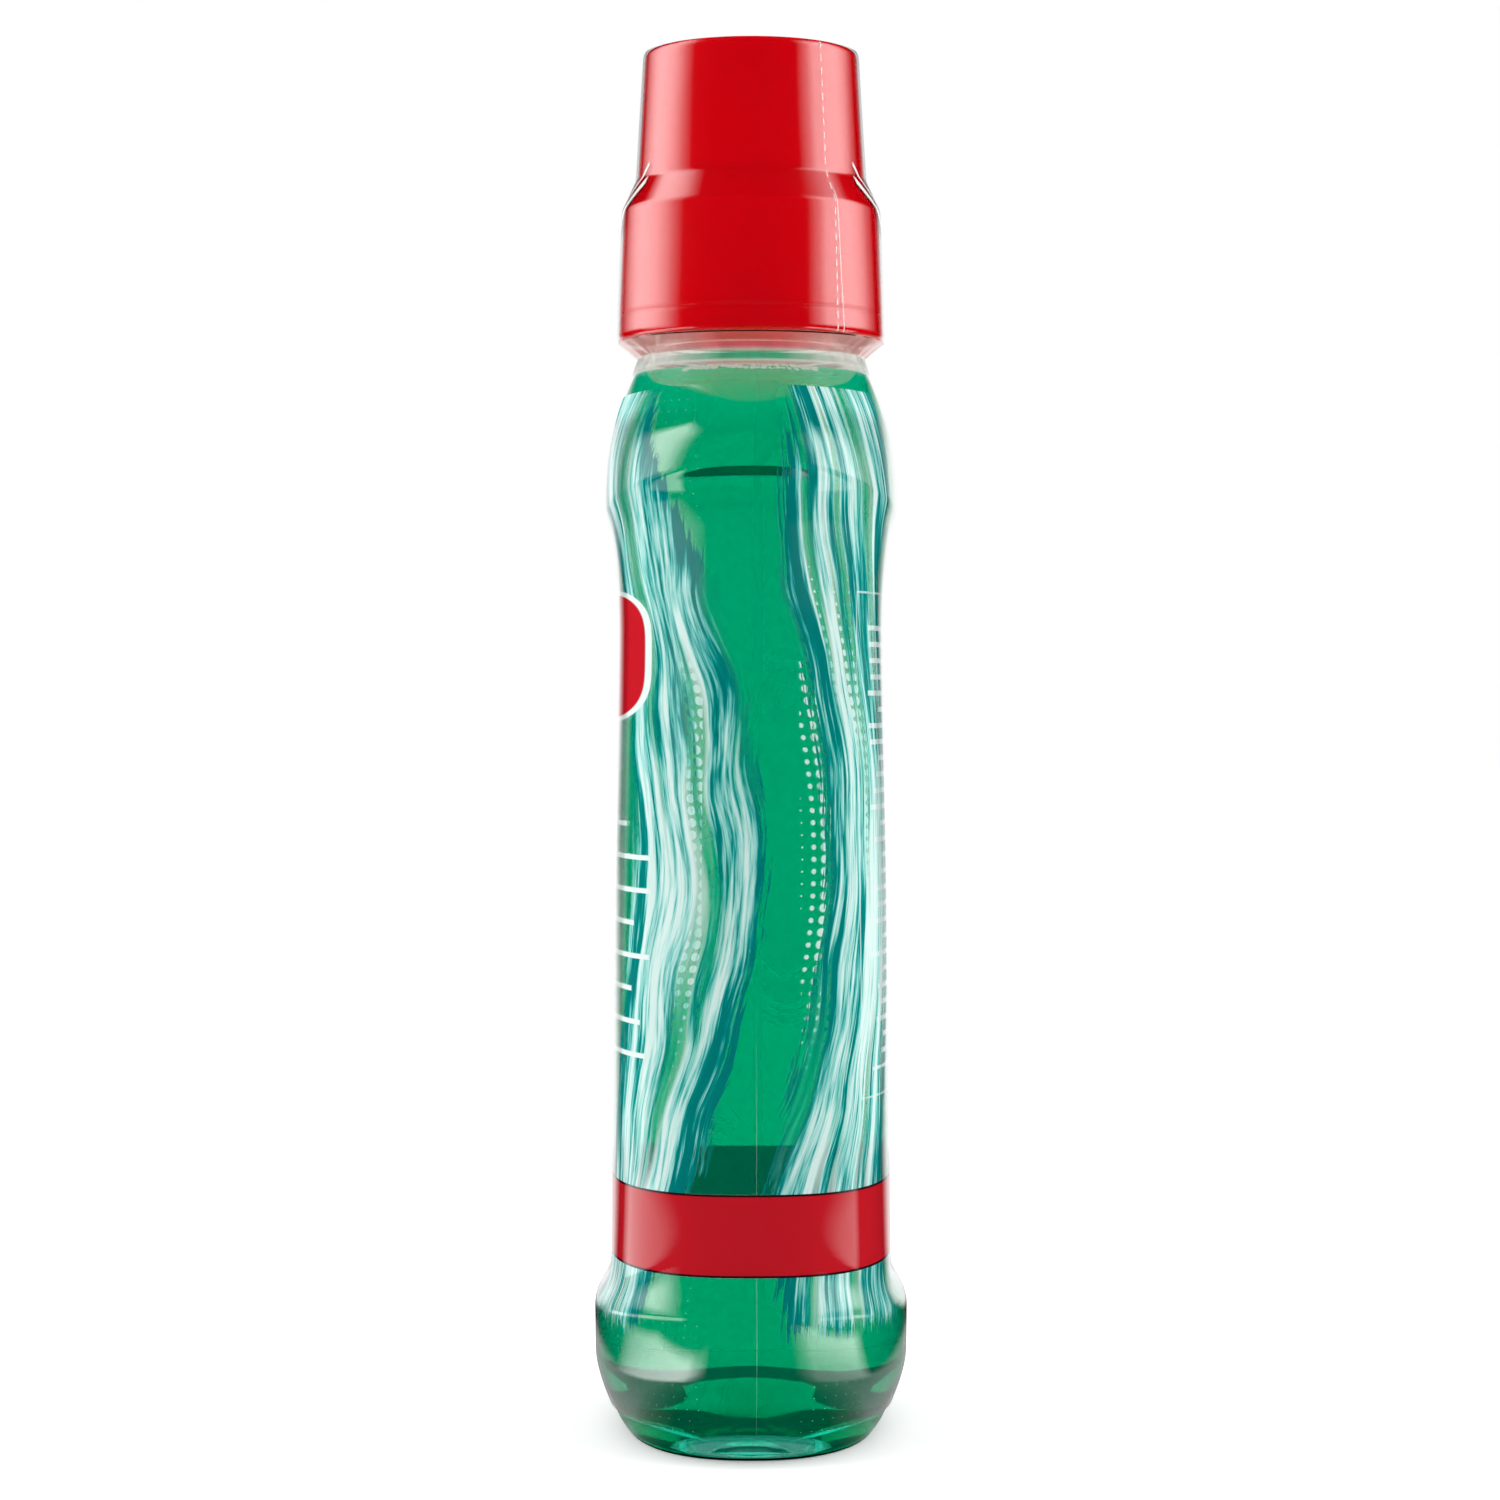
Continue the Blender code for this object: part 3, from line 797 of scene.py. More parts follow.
def ribbons(s, z):
    """Ink and cover of two ribbons of combed pale and teal lines on each narrow side. Both follow
    one line, which swings from side to side as a cosine of the height, and they part a little at
    the shoulder and the base. Each has a field of dots beside it that grow smaller with their
    distance."""
    side = from_side(s)
    swing = calc("COSINE", (z - SWING_PEAK) * (2 * math.pi / SWING_HEIGHT))
    leaned = side - swing * SWING_REACH
    across = abs(leaned) - RIBBON_PLACE
    for start, end, flare in RIBBON_FLARES:
        across = across - spread(z, start, end) * flare
    away = abs(across)

    combed = noise(spot(s, z), WANDER_SCALE, 1.0) * WANDER + leaned + across * z * COMB_LEAN
    place = spot(combed, z * COMB_STRETCH)
    fine = noise(place, *FINE)
    tone = fine * FINE_WEIGHT + noise(place, *LINES) * LINES_WEIGHT - spread(away, *RIM_DARK)
    ends = (TEAL_TONE, settings().teal_ink), (PALE_TONE, settings().pale_ink)
    lines = ramp(tone, (ends[0], *RIBBON_SHADES, ends[1]))

    edge = (0.5 - fine) * RAGGED_SIDE + RIBBON_HALF_WIDTH
    foot = (fine - 0.5) * RAGGED_FOOT + PRINT_FOOT
    worn = spread(noise(place, *GAPS), *GAPS_WORN)
    cover = inside_of(away, edge, 0.4) * worn * inside_of(foot, z) * inside_of(z, PRINT_HEAD)

    column = calc("FRACT", leaned / DOT_PITCH) - 0.5
    row = calc("FRACT", z / DOT_PITCH) - 0.5
    from_dot = calc("SQRT", column * column + row * row)
    shrunk = (RIBBON_HALF_WIDTH + DOT_REACH - away) * (DOT_RADIUS / DOT_REACH)
    size = calc("MINIMUM", shrunk, DOT_RADIUS) * between(z, *DOT_SPAN)
    clear = calc("GREATER_THAN", abs(side), MIDDLE_GAP)
    dots = inside_of(from_dot, size, 0.05) * inside_of(across, 0.0) * clear * DOT_COVER
    inked = calc("GREATER_THAN", cover, LEAST_COVER)
    return mixed(inked, colour(settings().pale_ink), lines), most(dots, cover)


# Labels of the broad faces: the lozenge's half sizes, height and field, and the panel's half sizes
# and height. Rules have their pitch, inked share, shortest reach and its growth, and lowest and
# highest.
LOZENGE_REACH, LOZENGE_RISE, LOZENGE_MIDDLE = 33.0, 10.5, 126.0
LOZENGE_FIELD = 0.76
PANEL_REACH, PANEL_RISE, PANEL_MIDDLE = 31.0, 40.0, 96.0
PANEL_LINE, PANEL_COVER = (-0.2, 0.2, 0.08), 0.6
FRONT_RULES = (5.2, 0.14, 22.0, 12.0, 58.0, 104.0)
BACK_RULES = (2.6, 0.30, 19.0, 9.0, 60.0, 132.0)
BACK_RULES_COVER = 0.8


def rules(place, z, pitch, share, shortest, growth, low, high):
    """Level rules: a share of each pitch is inked, out to a reach that changes from row to row."""
    rows = z / pitch
    row_place = spot(calc("FLOOR", rows), pitch)
    chance = add(tree_of(z), "TexWhiteNoise", {"Vector": row_place}, "Value", noise_dimensions="3D")
    inked = inside_of(calc("FRACT", rows), share, 0.03)
    return inked * inside_of(abs(place), chance * growth + shortest) * between(z, low, high, 0.1)


def front_label(s, z):
    """A plain lozenge, its inner field, and rules of several lengths under it. The lozenge is a
    superellipse of the fourth power."""
    place = s + QUARTER
    wide = calc("POWER", abs(place / LOZENGE_REACH), 4.0)
    high = calc("POWER", abs((z - LOZENGE_MIDDLE) / LOZENGE_RISE), 4.0)
    shape = wide + high
    lozenge, field = (inside_of(shape, limit, 0.04) for limit in (1.0, LOZENGE_FIELD))
    return lozenge, field, rules(place, z, *FRONT_RULES)


def back_label(s, z):
    """A thin outlined panel on the back, with fine rules in it."""
    place = s - QUARTER
    border = most(abs(place) - PANEL_REACH, abs(z - PANEL_MIDDLE) - PANEL_RISE)
    outline = between(border, *PANEL_LINE) * PANEL_COVER
    return most(outline, rules(place, z, *BACK_RULES) * BACK_RULES_COVER)


# Painted glow of the sleeve where it is drawn in under the cap, which stands in for its reflections
# of the red cap and the green liquid: its colours by height, the height at which its sides turn
# red, and their colours under and over it.
NECK_LOW, NECK_HIGH = 172.0, 178.5
NECK_PAINTED_GLOWS = (
    (173.0, (0.37, 0.44, 0.31)),
    (173.5, (0.50, 0.62, 0.52)),
    (173.9, (0.0, 0.44, 0.22)),
    (175.0, (0.0, 0.42, 0.20)),
    (175.4, (0.60, 0.50, 0.42)),
    (176.0, (0.78, 0.11, 0.15)),
    (177.2, (0.72, 0.08, 0.08)),
    (NECK_HIGH, (0.72, 0.08, 0.08)),
)
NECK_SIDE_REDDENS = (175.3, 175.7)
NECK_SIDE_PAINTED_GLOWS = ((0.84, 0.86, 0.80, 1.0), (0.72, 0.40, 0.36, 1.0))
NECK_SIDES = (8.0, 26.0)

# Haze of the crumpled film there, which shows as that painted glow: its span, the stretch and
# pattern of its creases, and their strength.
HAZE_AND_GLOW_SPAN = (172.7, 179.5, 0.8)
CREASE_STRETCH, CREASES = 0.6, (0.22, 3.0)
HAZE_AND_GLOW_CREASES = (0.35, 0.65, 0.60, 0.80)


def neck_painted_glow(s, z):
    """The painted glow of the drawn-in film: colours that stand in for its reflections of the cap
    over it and the liquid under it, paler away from the middle of the narrow sides."""
    tall = NECK_HIGH - NECK_LOW
    stops = [((height - NECK_LOW) / tall, tint) for height, tint in NECK_PAINTED_GLOWS]
    middle = ramp(spread(z, NECK_LOW, NECK_HIGH), stops)
    pale = mixed(spread(z, *NECK_SIDE_REDDENS), *NECK_SIDE_PAINTED_GLOWS)
    return mixed(spread(abs(from_side(s)), *NECK_SIDES) * 0.9, middle, pale)


# Band round the foot, with its dark edge, the mould's seam up the near side, and the sleeve's weld.
BAND = (29.2, 42.1)
BAND_EDGE = 0.35
SEAM = (0.75, 0.90, 0.05)
SEAM_SPAN = (0.0, 72.0, 18.0)
SEAM_COVER = 0.2
WELD_SHIFT = 0.8
WELD_HALF_WIDTH = 0.5
WELD_COVER = 0.4

# Where the sleeve clings so tightly that it is dull: under the neck, and at the waist's corners by
# the distance from the middle of a side and by height. Between two spans of height it shades as an
# oval.
TIGHT_NECK = (163.0, 174.5, 2.5)
TIGHT_CORNER, TIGHT_WAIST = (17.5, 29.0, 1.5), (45.0, 150.0, 6.0)
CORNER_DULLED = 0.75
OVAL_FROM, OVAL_UP_TO = (50.0, 95.0), (152.0, 146.0)

# How much of the light goes through the ink, and how much more where its pale backing shows.
LIT_THROUGH, BACKING_LIT = 0.25, 0.6

WHITE_INK = (0.86, 0.93, 0.92, 1.0)
EDGE_INK = (0.02, 0.004, 0.008, 1.0)
WELD_TINT = (0.0, 0.20, 0.12, 1.0)
BACKING = (0.90, 0.97, 0.97, 1.0)
BAND_BACKING = (0.50, 0.50, 0.52, 1.0)


def printed_film(tree):
    """Printed shrink film: ribbons on the narrow sides, plain labels on the broad ones, a red band
    round the foot, the mould's seam and the film's weld, and haze where it is drawn in at the neck,
    which glows with painted reflections of the cap and the liquid.
    Ink lies on the inner skin. From inside its backing shows, and lets some light through."""
    s, z = film_places(tree)
    red = colour(settings().band_colour)
    low, high = BAND
    band = between(z, low, high, 0.05)
    band_ink = mixed(between(z, low + BAND_EDGE, high - BAND_EDGE, 0.05), EDGE_INK, red)
    lozenge, field, lines = front_label(s, z)
    around = calc("WRAP", s + WELD_SHIFT, PRINT_ROUND, 0.0)
    weld = inside_of(abs(around - PRINT_ROUND / 2), WELD_HALF_WIDTH) * WELD_COVER
    ink, cover = ribbons(s, z)
    for tint, share in (
        (WHITE_INK, lines),
        (WHITE_INK, back_label(s, z)),
        (WHITE_INK, lozenge),
        (red, field),
        (band_ink, band),
        (WELD_TINT, weld),
    ):
        ink, cover = mixed(share, ink, tint), most(cover, share)
    cover = most(cover, between(s, *SEAM) * between(z, *SEAM_SPAN) * SEAM_COVER)

    skin = add(tree, "Attribute", out="Fac", attribute_name="printed")
    seen_outside = add(tree, "NewGeometry", out="Backfacing")
    shown = mixed(seen_outside, mixed(band, BACKING, BAND_BACKING), ink)
    lit_through = (1.0 - seen_outside) * (1.0 - band) * BACKING_LIT + LIT_THROUGH
    matte = {"Base Color": shown, "Roughness": 0.6, "Specular IOR Level": 0.0}
    front = add(tree, "BsdfPrincipled", matte)
    printed = blend(lit_through, front, add(tree, "BsdfTranslucent", {"Color": shown}))

    corner = between(abs(from_side(s)), *TIGHT_CORNER) * between(z, *TIGHT_WAIST)
    tight = most(between(z, *TIGHT_NECK), corner * CORNER_DULLED)
    rounder = spread(z, *OVAL_FROM) * spread(z, *OVAL_UP_TO)
    clear = film_sheen(tree, tight, oval_normal(tree, rounder))
    creased = spread(noise(spot(s, z * CREASE_STRETCH), *CREASES), *HAZE_AND_GLOW_CREASES)
    haze_and_painted_glow = creased * between(z, *HAZE_AND_GLOW_SPAN) * skin
    # Painted glow: where the film is drawn in at the neck it gives off light in colours that stand
    # in for its reflections of the cap and the liquid.
    glow = add(tree, "Emission", {"Color": neck_painted_glow(s, z)})
    return (blend(haze_and_painted_glow, blend(cover * skin, clear, printed), glow),)


# The cap's film: its chevrons' two strokes by height, their slope and reach, the row of
# perforations and the weld by their place round the film, the holes' pitch and share, and the
# weld's lean and top.
CHEVRONS = ((195.2, 196.6, 0.1), (198.2, 198.9, 0.1))
CHEVRON_SLOPE = 0.49
CHEVRON_REACH = 16.5
CHEVRON_COVER, LINE_COVER = 0.9, 0.55
HOLES, HOLE_PITCH, HOLE_SHARE = (22.2, 22.6, 0.1), 2.1, 0.55
CAP_WELD, CAP_WELD_LEAN, CAP_WELD_TOP = (35.0, 35.25, 0.06), 0.06, 201.0


def clear_film(tree):
    """Clear shrink film on the cap, with plain white chevrons over its two label sides, a row of
    perforations up one side and the line of its weld. The perforations and the weld are drawn in
    white, as painted highlights of the light that their edges catch."""
    s, z = film_places(tree)
    from_middle = abs(from_side(s + QUARTER))
    climb = z - from_middle * CHEVRON_SLOPE
    marks = most(*(between(climb, *stroke) for stroke in CHEVRONS))
    marks = marks * inside_of(from_middle, CHEVRON_REACH)
    dashed = calc("LESS_THAN", calc("FRACT", z / HOLE_PITCH), HOLE_SHARE)
    weld = between(z * CAP_WELD_LEAN + s, *CAP_WELD) * inside_of(z, CAP_WELD_TOP, 2.0)
    # Perforations and weld: painted highlights, white lines where their edges catch the light.
    lines = most(between(s, *HOLES) * dashed, weld)
    ink = add(tree, "BsdfPrincipled", {"Base Color": (0.88, 0.86, 0.85, 1.0), "Roughness": 0.35})
    return (blend(most(marks * CHEVRON_COVER, lines * LINE_COVER), film_sheen(tree), ink),)


def bottle_mesh():
    """The blown bottle as one closed wall: the body's rings, the turned neck with its thread, and
    the body's rings again, moved in by the wall."""
    wall = settings().wall
    outside = outline_rings(body_rows())
    inside = moved_out(outside, -wall)
    ledge = SHOULDER_TOP + LEDGE_LOW
    outline = rounded(
        (NECK_RADIUS, SHOULDER_TOP + NECK_FOOT, 0.0),
        (NECK_RADIUS, ledge, 0.0),
        (LEDGE_RADIUS, ledge, LEDGE_ROUND),
        (LEDGE_RADIUS, ledge + LEDGE_HEIGHT, LEDGE_ROUND),
        (FINISH_RADIUS, ledge + LEDGE_HEIGHT, 0.0),
        (FINISH_RADIUS, RIM, RIM_ROUND),
        (BORE_RADIUS, RIM, RIM_ROUND),
        (BORE_RADIUS, SHOULDER_TOP + NECK_FOOT, 0.0),
    )
    outline = resampled(outline)
    ridge = THREAD_DEPTH * thread_ridge(outline[:, 1], RIM - THREAD_DROP)
    on_finish = np.abs(outline[:, :1] - FINISH_RADIUS) < RIM_ROUND / 10
    neck = turned(outline, swell=ridge * on_finish)
    rings = np.concatenate([outside, neck, inside[::-1]])
    mesh = ring_mesh("bottle_wall", rings, ((0, 0, PUNT_RISE), (0, 0, PUNT_RISE + wall)))
    wet = np.zeros(rings.shape[:2])
    wet[-len(inside) :] = inside[::-1, :, 2] < settings().fill_height
    return mark(mesh, "wetted", [*wet.ravel(), 0, 1])


def level_ring(grid, height):
    """The ring at which a grid of rings reaches a height, found in each column between the two
    rings on either side of it."""
    above = np.argmax(grid[:, :, 2] > height, axis=0)
    column = np.arange(grid.shape[1])
    low, high = grid[above - 1, column], grid[above, column]
    share = (height - low[:, 2]) / (high[:, 2] - low[:, 2])
    return low + share[:, None] * (high - low)


def liquid_mesh():
    """The liquid: the bottle's rings moved in to the middle of its wall, up to the level, and a top
    that climbs the wall by the meniscus times exp(-distance / reach)."""
    half_wall = settings().wall / 2
    level, climb = settings().fill_height, settings().meniscus
    grid = moved_out(outline_rings(body_rows()), -half_wall)
    rim = level_ring(grid, level + climb)
    below = grid[grid[:, :, 2].max(axis=1) < level]
    shares = 1 - np.concatenate([CLIMB_SHARES, LEVEL_SHARES])[:, None]
    distance = (1 - shares) * np.linalg.norm(rim[:, :2], axis=1)
    top = np.empty((len(shares), ROUND_STEPS, 3))
    top[:, :, :2] = shares[:, :, None] * rim[None, :, :2]
    top[:, :, 2] = level + climb * np.exp(-distance / MENISCUS_REACH)
    rings = np.concatenate([below, top])
    mesh = ring_mesh("liquid", rings, ((0, 0, PUNT_RISE + half_wall), (0, 0, level)))
    wet = np.repeat(np.arange(len(rings)) < len(below), ROUND_STEPS)
    return mark(mesh, "wetted", [*wet, 1, 0])


def bubbles_mesh():
    """Froth where the liquid meets the near wall: small spheres, each turned from a half circle,
    strewn along the edge of the level."""
    random = np.random.default_rng(7)
    grid = moved_out(outline_rings(body_rows()), -settings().wall)
    rim = level_ring(grid, settings().fill_height + settings().meniscus / 2)
    where = random.uniform(-BUBBLE_SPREAD, BUBBLE_SPREAD, BUBBLE_COUNT) - math.pi / 2
    angle, reach = np.arctan2(rim[:, 1], rim[:, 0]), np.hypot(rim[:, 0], rim[:, 1])
    order = np.argsort(angle)
    wall = np.interp(where, angle[order], reach[order], period=2 * math.pi)
    size = random.uniform(*BUBBLE_SIZES, BUBBLE_COUNT)
    out = wall - size * random.uniform(*BUBBLE_STAND_OFF, BUBBLE_COUNT)
    rise = settings().fill_height + random.uniform(*BUBBLE_RISE, BUBBLE_COUNT)
    middle = np.stack([out * np.cos(where), out * np.sin(where), rise], axis=1)
    rings, steps = BUBBLE_GRID
    polar = math.pi * np.arange(1, rings + 1) / (rings + 1)
    half_circle = np.stack([np.sin(polar), np.cos(polar)], axis=1)
    ball = turned(half_circle, 2 * math.pi * np.arange(steps) / steps).reshape(-1, 3)
    ball = np.vstack([ball, (0, 0, 1), (0, 0, -1)])
    points = middle[:, None, :] + size[:, None, None] * ball[None]
    faces = quads(rings, steps).tolist() + fans(rings, steps)
    starts = range(0, BUBBLE_COUNT * len(ball), len(ball))
    faces = [[start + corner for corner in face] for start in starts for face in faces]
    return face_out(mesh_of("froth", points.reshape(-1, 3), faces))


def cap_outside():
    """The cap's outer outline, from its flat top down to its lower edge, with a shallow groove."""
    slope = (SKIRT_FOOT_RADIUS - SKIRT_TOP_RADIUS) / (CAP_SHOULDER - CAP_FOOT)
    groove = CAP_FOOT + GROOVE_HEIGHT
    at_groove = SKIRT_FOOT_RADIUS - slope * GROOVE_HEIGHT
    return rounded(
        (CAP_TOP_RADIUS - CAP_TOP_ROUND * 2, CAP_TOP, 0.0),
        *CAP_SIDE,
        (at_groove, groove + GROOVE_WIDTH, 0.0),
        (at_groove - GROOVE_DEPTH, groove + GROOVE_WIDTH / 2, 0.0),
        (at_groove, groove, 0.0),
        (SKIRT_FOOT_RADIUS, CAP_FOOT, SKIRT_FOOT_ROUND),
        (SKIRT_FOOT_RADIUS - SKIRT_WALL, CAP_FOOT, 0.0),
    )


def cap_inside():
    """The cap's inner outline: up the outer skirt, down and up the threaded inner skirt, past the
    seal's seat and the raised dose line to the cup's floor."""
    hollow_top = CAP_SHOULDER - SKIRT_WALL
    inner_foot = CAP_FOOT + INNER_SKIRT_LIFT
    floor = CAP_TOP - CUP_FLOOR
    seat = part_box("seal_ring")[1].z + FILM_GAP
    seat_radius = INNER_SKIRT_RADIUS - SEAT_WIDTH
    cup_radius = CAP_TOP_RADIUS - CUP_WALL
    line = floor - DOSE_LINE_DROP
    slope = (INNER_SKIRT_RADIUS - cup_radius) / (floor - seat)
    line_radius = cup_radius + slope * (floor - line)
    return rounded(
        (SKIRT_TOP_RADIUS - SKIRT_WALL, hollow_top, 0.0),
        (INNER_SKIRT_RADIUS + INNER_SKIRT_WALL, hollow_top, 0.0),
        (INNER_SKIRT_RADIUS + INNER_SKIRT_WALL, inner_foot, 0.0),
        (INNER_SKIRT_RADIUS, inner_foot, 0.0),
        (INNER_SKIRT_RADIUS, seat, 0.0),
        (seat_radius, seat, 0.0),
        (seat_radius, seat + SEAT_HEIGHT, 0.0),
        (INNER_SKIRT_RADIUS, seat + 2 * SEAT_HEIGHT, 0.0),
        (line_radius, line - DOSE_LINE_WIDTH, 0.0),
        (line_radius - DOSE_LINE_HEIGHT, line, 0.0),
        (line_radius, line + DOSE_LINE_WIDTH, 0.0),
        (cup_radius, floor, CUP_FLOOR_ROUND),
        (CUP_FLOOR_ROUND, floor, 0.0),
    )


def cap_mesh():
    """The dosing cap, turned from its closed outline, with its thread standing in from the inner
    skirt half a lead below the neck's."""
    outline = resampled(np.vstack([cap_outside(), cap_inside()]))
    ridge = thread_ridge(outline[:, 1], RIM - THREAD_DROP - THREAD_LEAD / 2)
    below_seat = outline[:, 1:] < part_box("seal_ring")[0].z
    on_skirt = (np.abs(outline[:, :1] - INNER_SKIRT_RADIUS) < RIM_ROUND / 10) & below_seat
    rings = turned(outline, swell=-THREAD_DEPTH * ridge * on_skirt)
    return ring_mesh("cap", rings, ((0, 0, CAP_TOP), (0, 0, CAP_TOP - CUP_FLOOR)))


def film_shell(name, inside, outside):
    """A closed film between two sets of rings, with UVs of arc length round and height up."""
    rings = np.concatenate([inside, outside[::-1]])
    closed = np.concatenate([rings, rings[:, :1]], axis=1)
    steps = np.linalg.norm(np.diff(closed[:, :, :2], axis=1), axis=2)
    reach = np.concatenate([np.zeros((len(rings), 1)), np.cumsum(steps, axis=1)], axis=1)
    places = np.stack([reach / reach[:, -1:], closed[:, :, 2] * 1000 / PRINT_TALL], axis=2)
    return ring_mesh(name, rings, wrapped=True, places=places)


def body_film_mesh():
    """The printed sleeve. Its inner skin is the bottle's rings from the heel up, moved out by the
    gap, and then a tent from the neck's notch out to the cap's lower corner. Round the notch it has
    folds, sines round the axis that fade with exp(-(height / fold height)^2). Its outer skin is the
    same, moved out by the film's thickness. The inner one is marked as printed."""
    rows = body_rows()[PUNT_RINGS + sum(BODY_RINGS[:2]) :]
    rows = rows[rows[:, 0] < SHOULDER_TOP - TUCK_DROP]
    grid = moved_out(outline_rings(rows), FILM_GAP)
    notch, lip = SHOULDER_TOP + NOTCH_RISE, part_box("body_sleeve")[1].z
    t = np.linspace(0, 1, TENT_RINGS)[:, None]
    out = LEDGE_RADIUS + FILM_GAP + TENT_REACH * t**TENT_CURVE
    rings = np.concatenate([grid, turned(np.hstack([out, notch + (lip - notch) * t]))])
    height = rings[:, :, 2]
    near = np.exp(-(((height - notch) / FOLD_HEIGHT) ** 2))
    folds = np.clip(0.5 + 0.25 * waves(FOLD_WAVES, height), 0, 1)
    swell = 1 + FOLD_DEPTH * near * folds / np.hypot(rings[:, :, 0], rings[:, :, 1])
    rings[:, :, :2] *= swell[:, :, None]
    mesh = film_shell("printed_sleeve", rings, moved_out(rings, FILM_WALL))
    return mark(mesh, "printed", np.arange(len(mesh.vertices)) < len(rings) * ROUND_STEPS)


def cap_film_mesh():
    """The film on the cap: the cap's side outline moved out, with slow ripples where it bridges."""
    side = rounded(
        (CAP_TOP_RADIUS - CAP_TOP_ROUND, CAP_TOP, 0.0),
        *CAP_SIDE,
        (SKIRT_FOOT_RADIUS, CAP_FOOT, SKIRT_FOOT_ROUND),
        (SKIRT_FOOT_RADIUS - SKIRT_WALL / 2, CAP_FOOT, 0.0),
    )
    # The first and last points belong to the flat top and to the underside of the skirt.
    side = resampled(side[3:-4])
    side = side[side[:, 1] < CAP_TOP - CAP_TOP_ROUND * FILM_END_SHARE]
    swell = RIPPLE_DEPTH * waves(RIPPLE_WAVES, side[:, 1:])
    inside, outside = (
        turned(offset_outline(side, distance), swell=swell)
        for distance in (FILM_GAP, FILM_GAP + FILM_WALL)
    )
    return film_shell("cap_film", inside, outside)


class BuildStep:
    """What the operators share: each builds its part of the scene."""

    bl_options = {"REGISTER", "UNDO"}

    def execute(self, context):
        self.build()
        return {"FINISHED"}


class BOTTLE_OT_wall(BuildStep, bpy.types.Operator):
    """Blow the clear bottle with its threaded neck"""

    bl_idname = "bottle.wall"
    bl_label = "Bottle wall"

    def build(self):
        finish = material("clear_pet", clear_plastic)
        piece("bottle_wall", bottle_mesh(), finish, "bottle", ("bottle",))


class BOTTLE_OT_liquid(BuildStep, bpy.types.Operator):
    """Pour in the mouthwash, with froth along its edge"""

    bl_idname = "bottle.liquid"
    bl_label = "Mouthwash"

    def build(self):
        liquid = material("green_mouthwash", green_liquid)
        piece("liquid", liquid_mesh(), liquid, "bottle", ("mouthwash",))
        froth = material("foam_bubbles", froth_bubbles)
        piece("froth", bubbles_mesh(), froth, "bottle")


class BOTTLE_OT_cap(BuildStep, bpy.types.Operator):
    """Turn the red dosing cap and finish its sealing ring"""

    bl_idname = "bottle.cap"
    bl_label = "Dosing cap"

    def build(self):
        finish = material("red_polypropylene", red_plastic)
        piece("cap", cap_mesh(), finish, "cap", ("dosing_cap",))
        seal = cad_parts["seal_ring"]
        seal.data.materials.clear()
        seal.data.materials.append(material("white_foam", seal_foam))


class BOTTLE_OT_sleeve(BuildStep, bpy.types.Operator):
    """Wrap the bottle and the cap in their shrink films"""

    bl_idname = "bottle.sleeve"
    bl_label = "Shrink sleeve"

    def build(self):
        printed = material("printed_film", printed_film)
        piece(
            "printed_sleeve", body_film_mesh(), printed, "bottle", ("body_sleeve",)
        )
        clear = material("clear_film", clear_film)
        piece("cap_film", cap_film_mesh(), clear, "cap", ("cap_sleeve",))


# Camera: its distance, height and lens, and the pixels at which the photograph shows the bottle's
# axis and the horizon.
CAMERA_DISTANCE = 0.631
CAMERA_HEIGHT = 0.1189
CAMERA_LENS = 91.22
SENSOR = 36.0
PHOTO_SIZE = 1500
AXIS_COLUMN = 751
HORIZON_ROW = 700


def camera():
    """A level camera at the photograph's distance and height, shifted so that the bottle's axis and
    the horizon fall where they do there."""
    lens = bpy.data.cameras.new("camera")
    lens.sensor_width = SENSOR
    lens.lens = CAMERA_LENS
    lens.shift_x = (PHOTO_SIZE / 2 - AXIS_COLUMN) / PHOTO_SIZE
    lens.shift_y = (HORIZON_ROW - PHOTO_SIZE / 2) / PHOTO_SIZE
    lens.clip_start, lens.clip_end = 0.01, 20
    made = placed("camera", lens)
    made.location = (0, -CAMERA_DISTANCE, CAMERA_HEIGHT)
    made.rotation_euler = (math.pi / 2, 0, 0)
    bpy.context.scene.camera = made


# Brightness of the soft lights at the left and right, of the left one close to the floor and of the
# white sweep behind, by how far round from the camera they stand, where 0 is at the camera and 1
# right behind the bottle. ALL_ROUND is that of diffuse light: both sides are the strongest.
LEFT_LIGHT = (
    (0.35, 0.0), (0.405, 0.27), (0.455, 0.62), (0.51, 0.86),
    (0.57, 0.90), (0.633, 0.77), (0.71, 0.38), (0.80, 0.0),
)
RIGHT_LIGHT = (
    (0.28, 0.0), (0.344, 0.38), (0.39, 0.86), (0.44, 0.98), (0.494, 1.0),
    (0.55, 0.90), (0.617, 0.58), (0.69, 0.16), (0.76, 0.0),
)
LOW_LIGHT = ((0.34, 0.0), (0.42, 0.30), (0.52, 0.38), (0.60, 0.0))
SWEEP = ((0.0, 0.0), (0.83, 0.0), (0.86, 0.5), (0.89, 1.0))
ALL_ROUND = ((0.0, 0.45), (0.25, 0.55), (0.38, 2.3), (0.62, 2.3), (0.78, 1.2), (1.0, 1.2))
LIGHT_STRENGTH = 2.8

# Soft edges of the lights, by the upward part of the way to them: where the low light gives over to
# the tall one, the tops of the three, and how the tops of the side lights fall away behind the
# bottle.
LOW_EDGE = (0.02, 0.14)
LEFT_TOP, RIGHT_TOP, SWEEP_TOP = (0.84, 0.74), (0.78, 0.56), (0.25, 0.10)
FALL_START, FALL = 0.55, 2.2

# What shows through the bottle, by how far the way faces the camera: white behind and dim in front.
SEEN_THROUGH = (-0.2, 0.7, 1.12, 0.02)


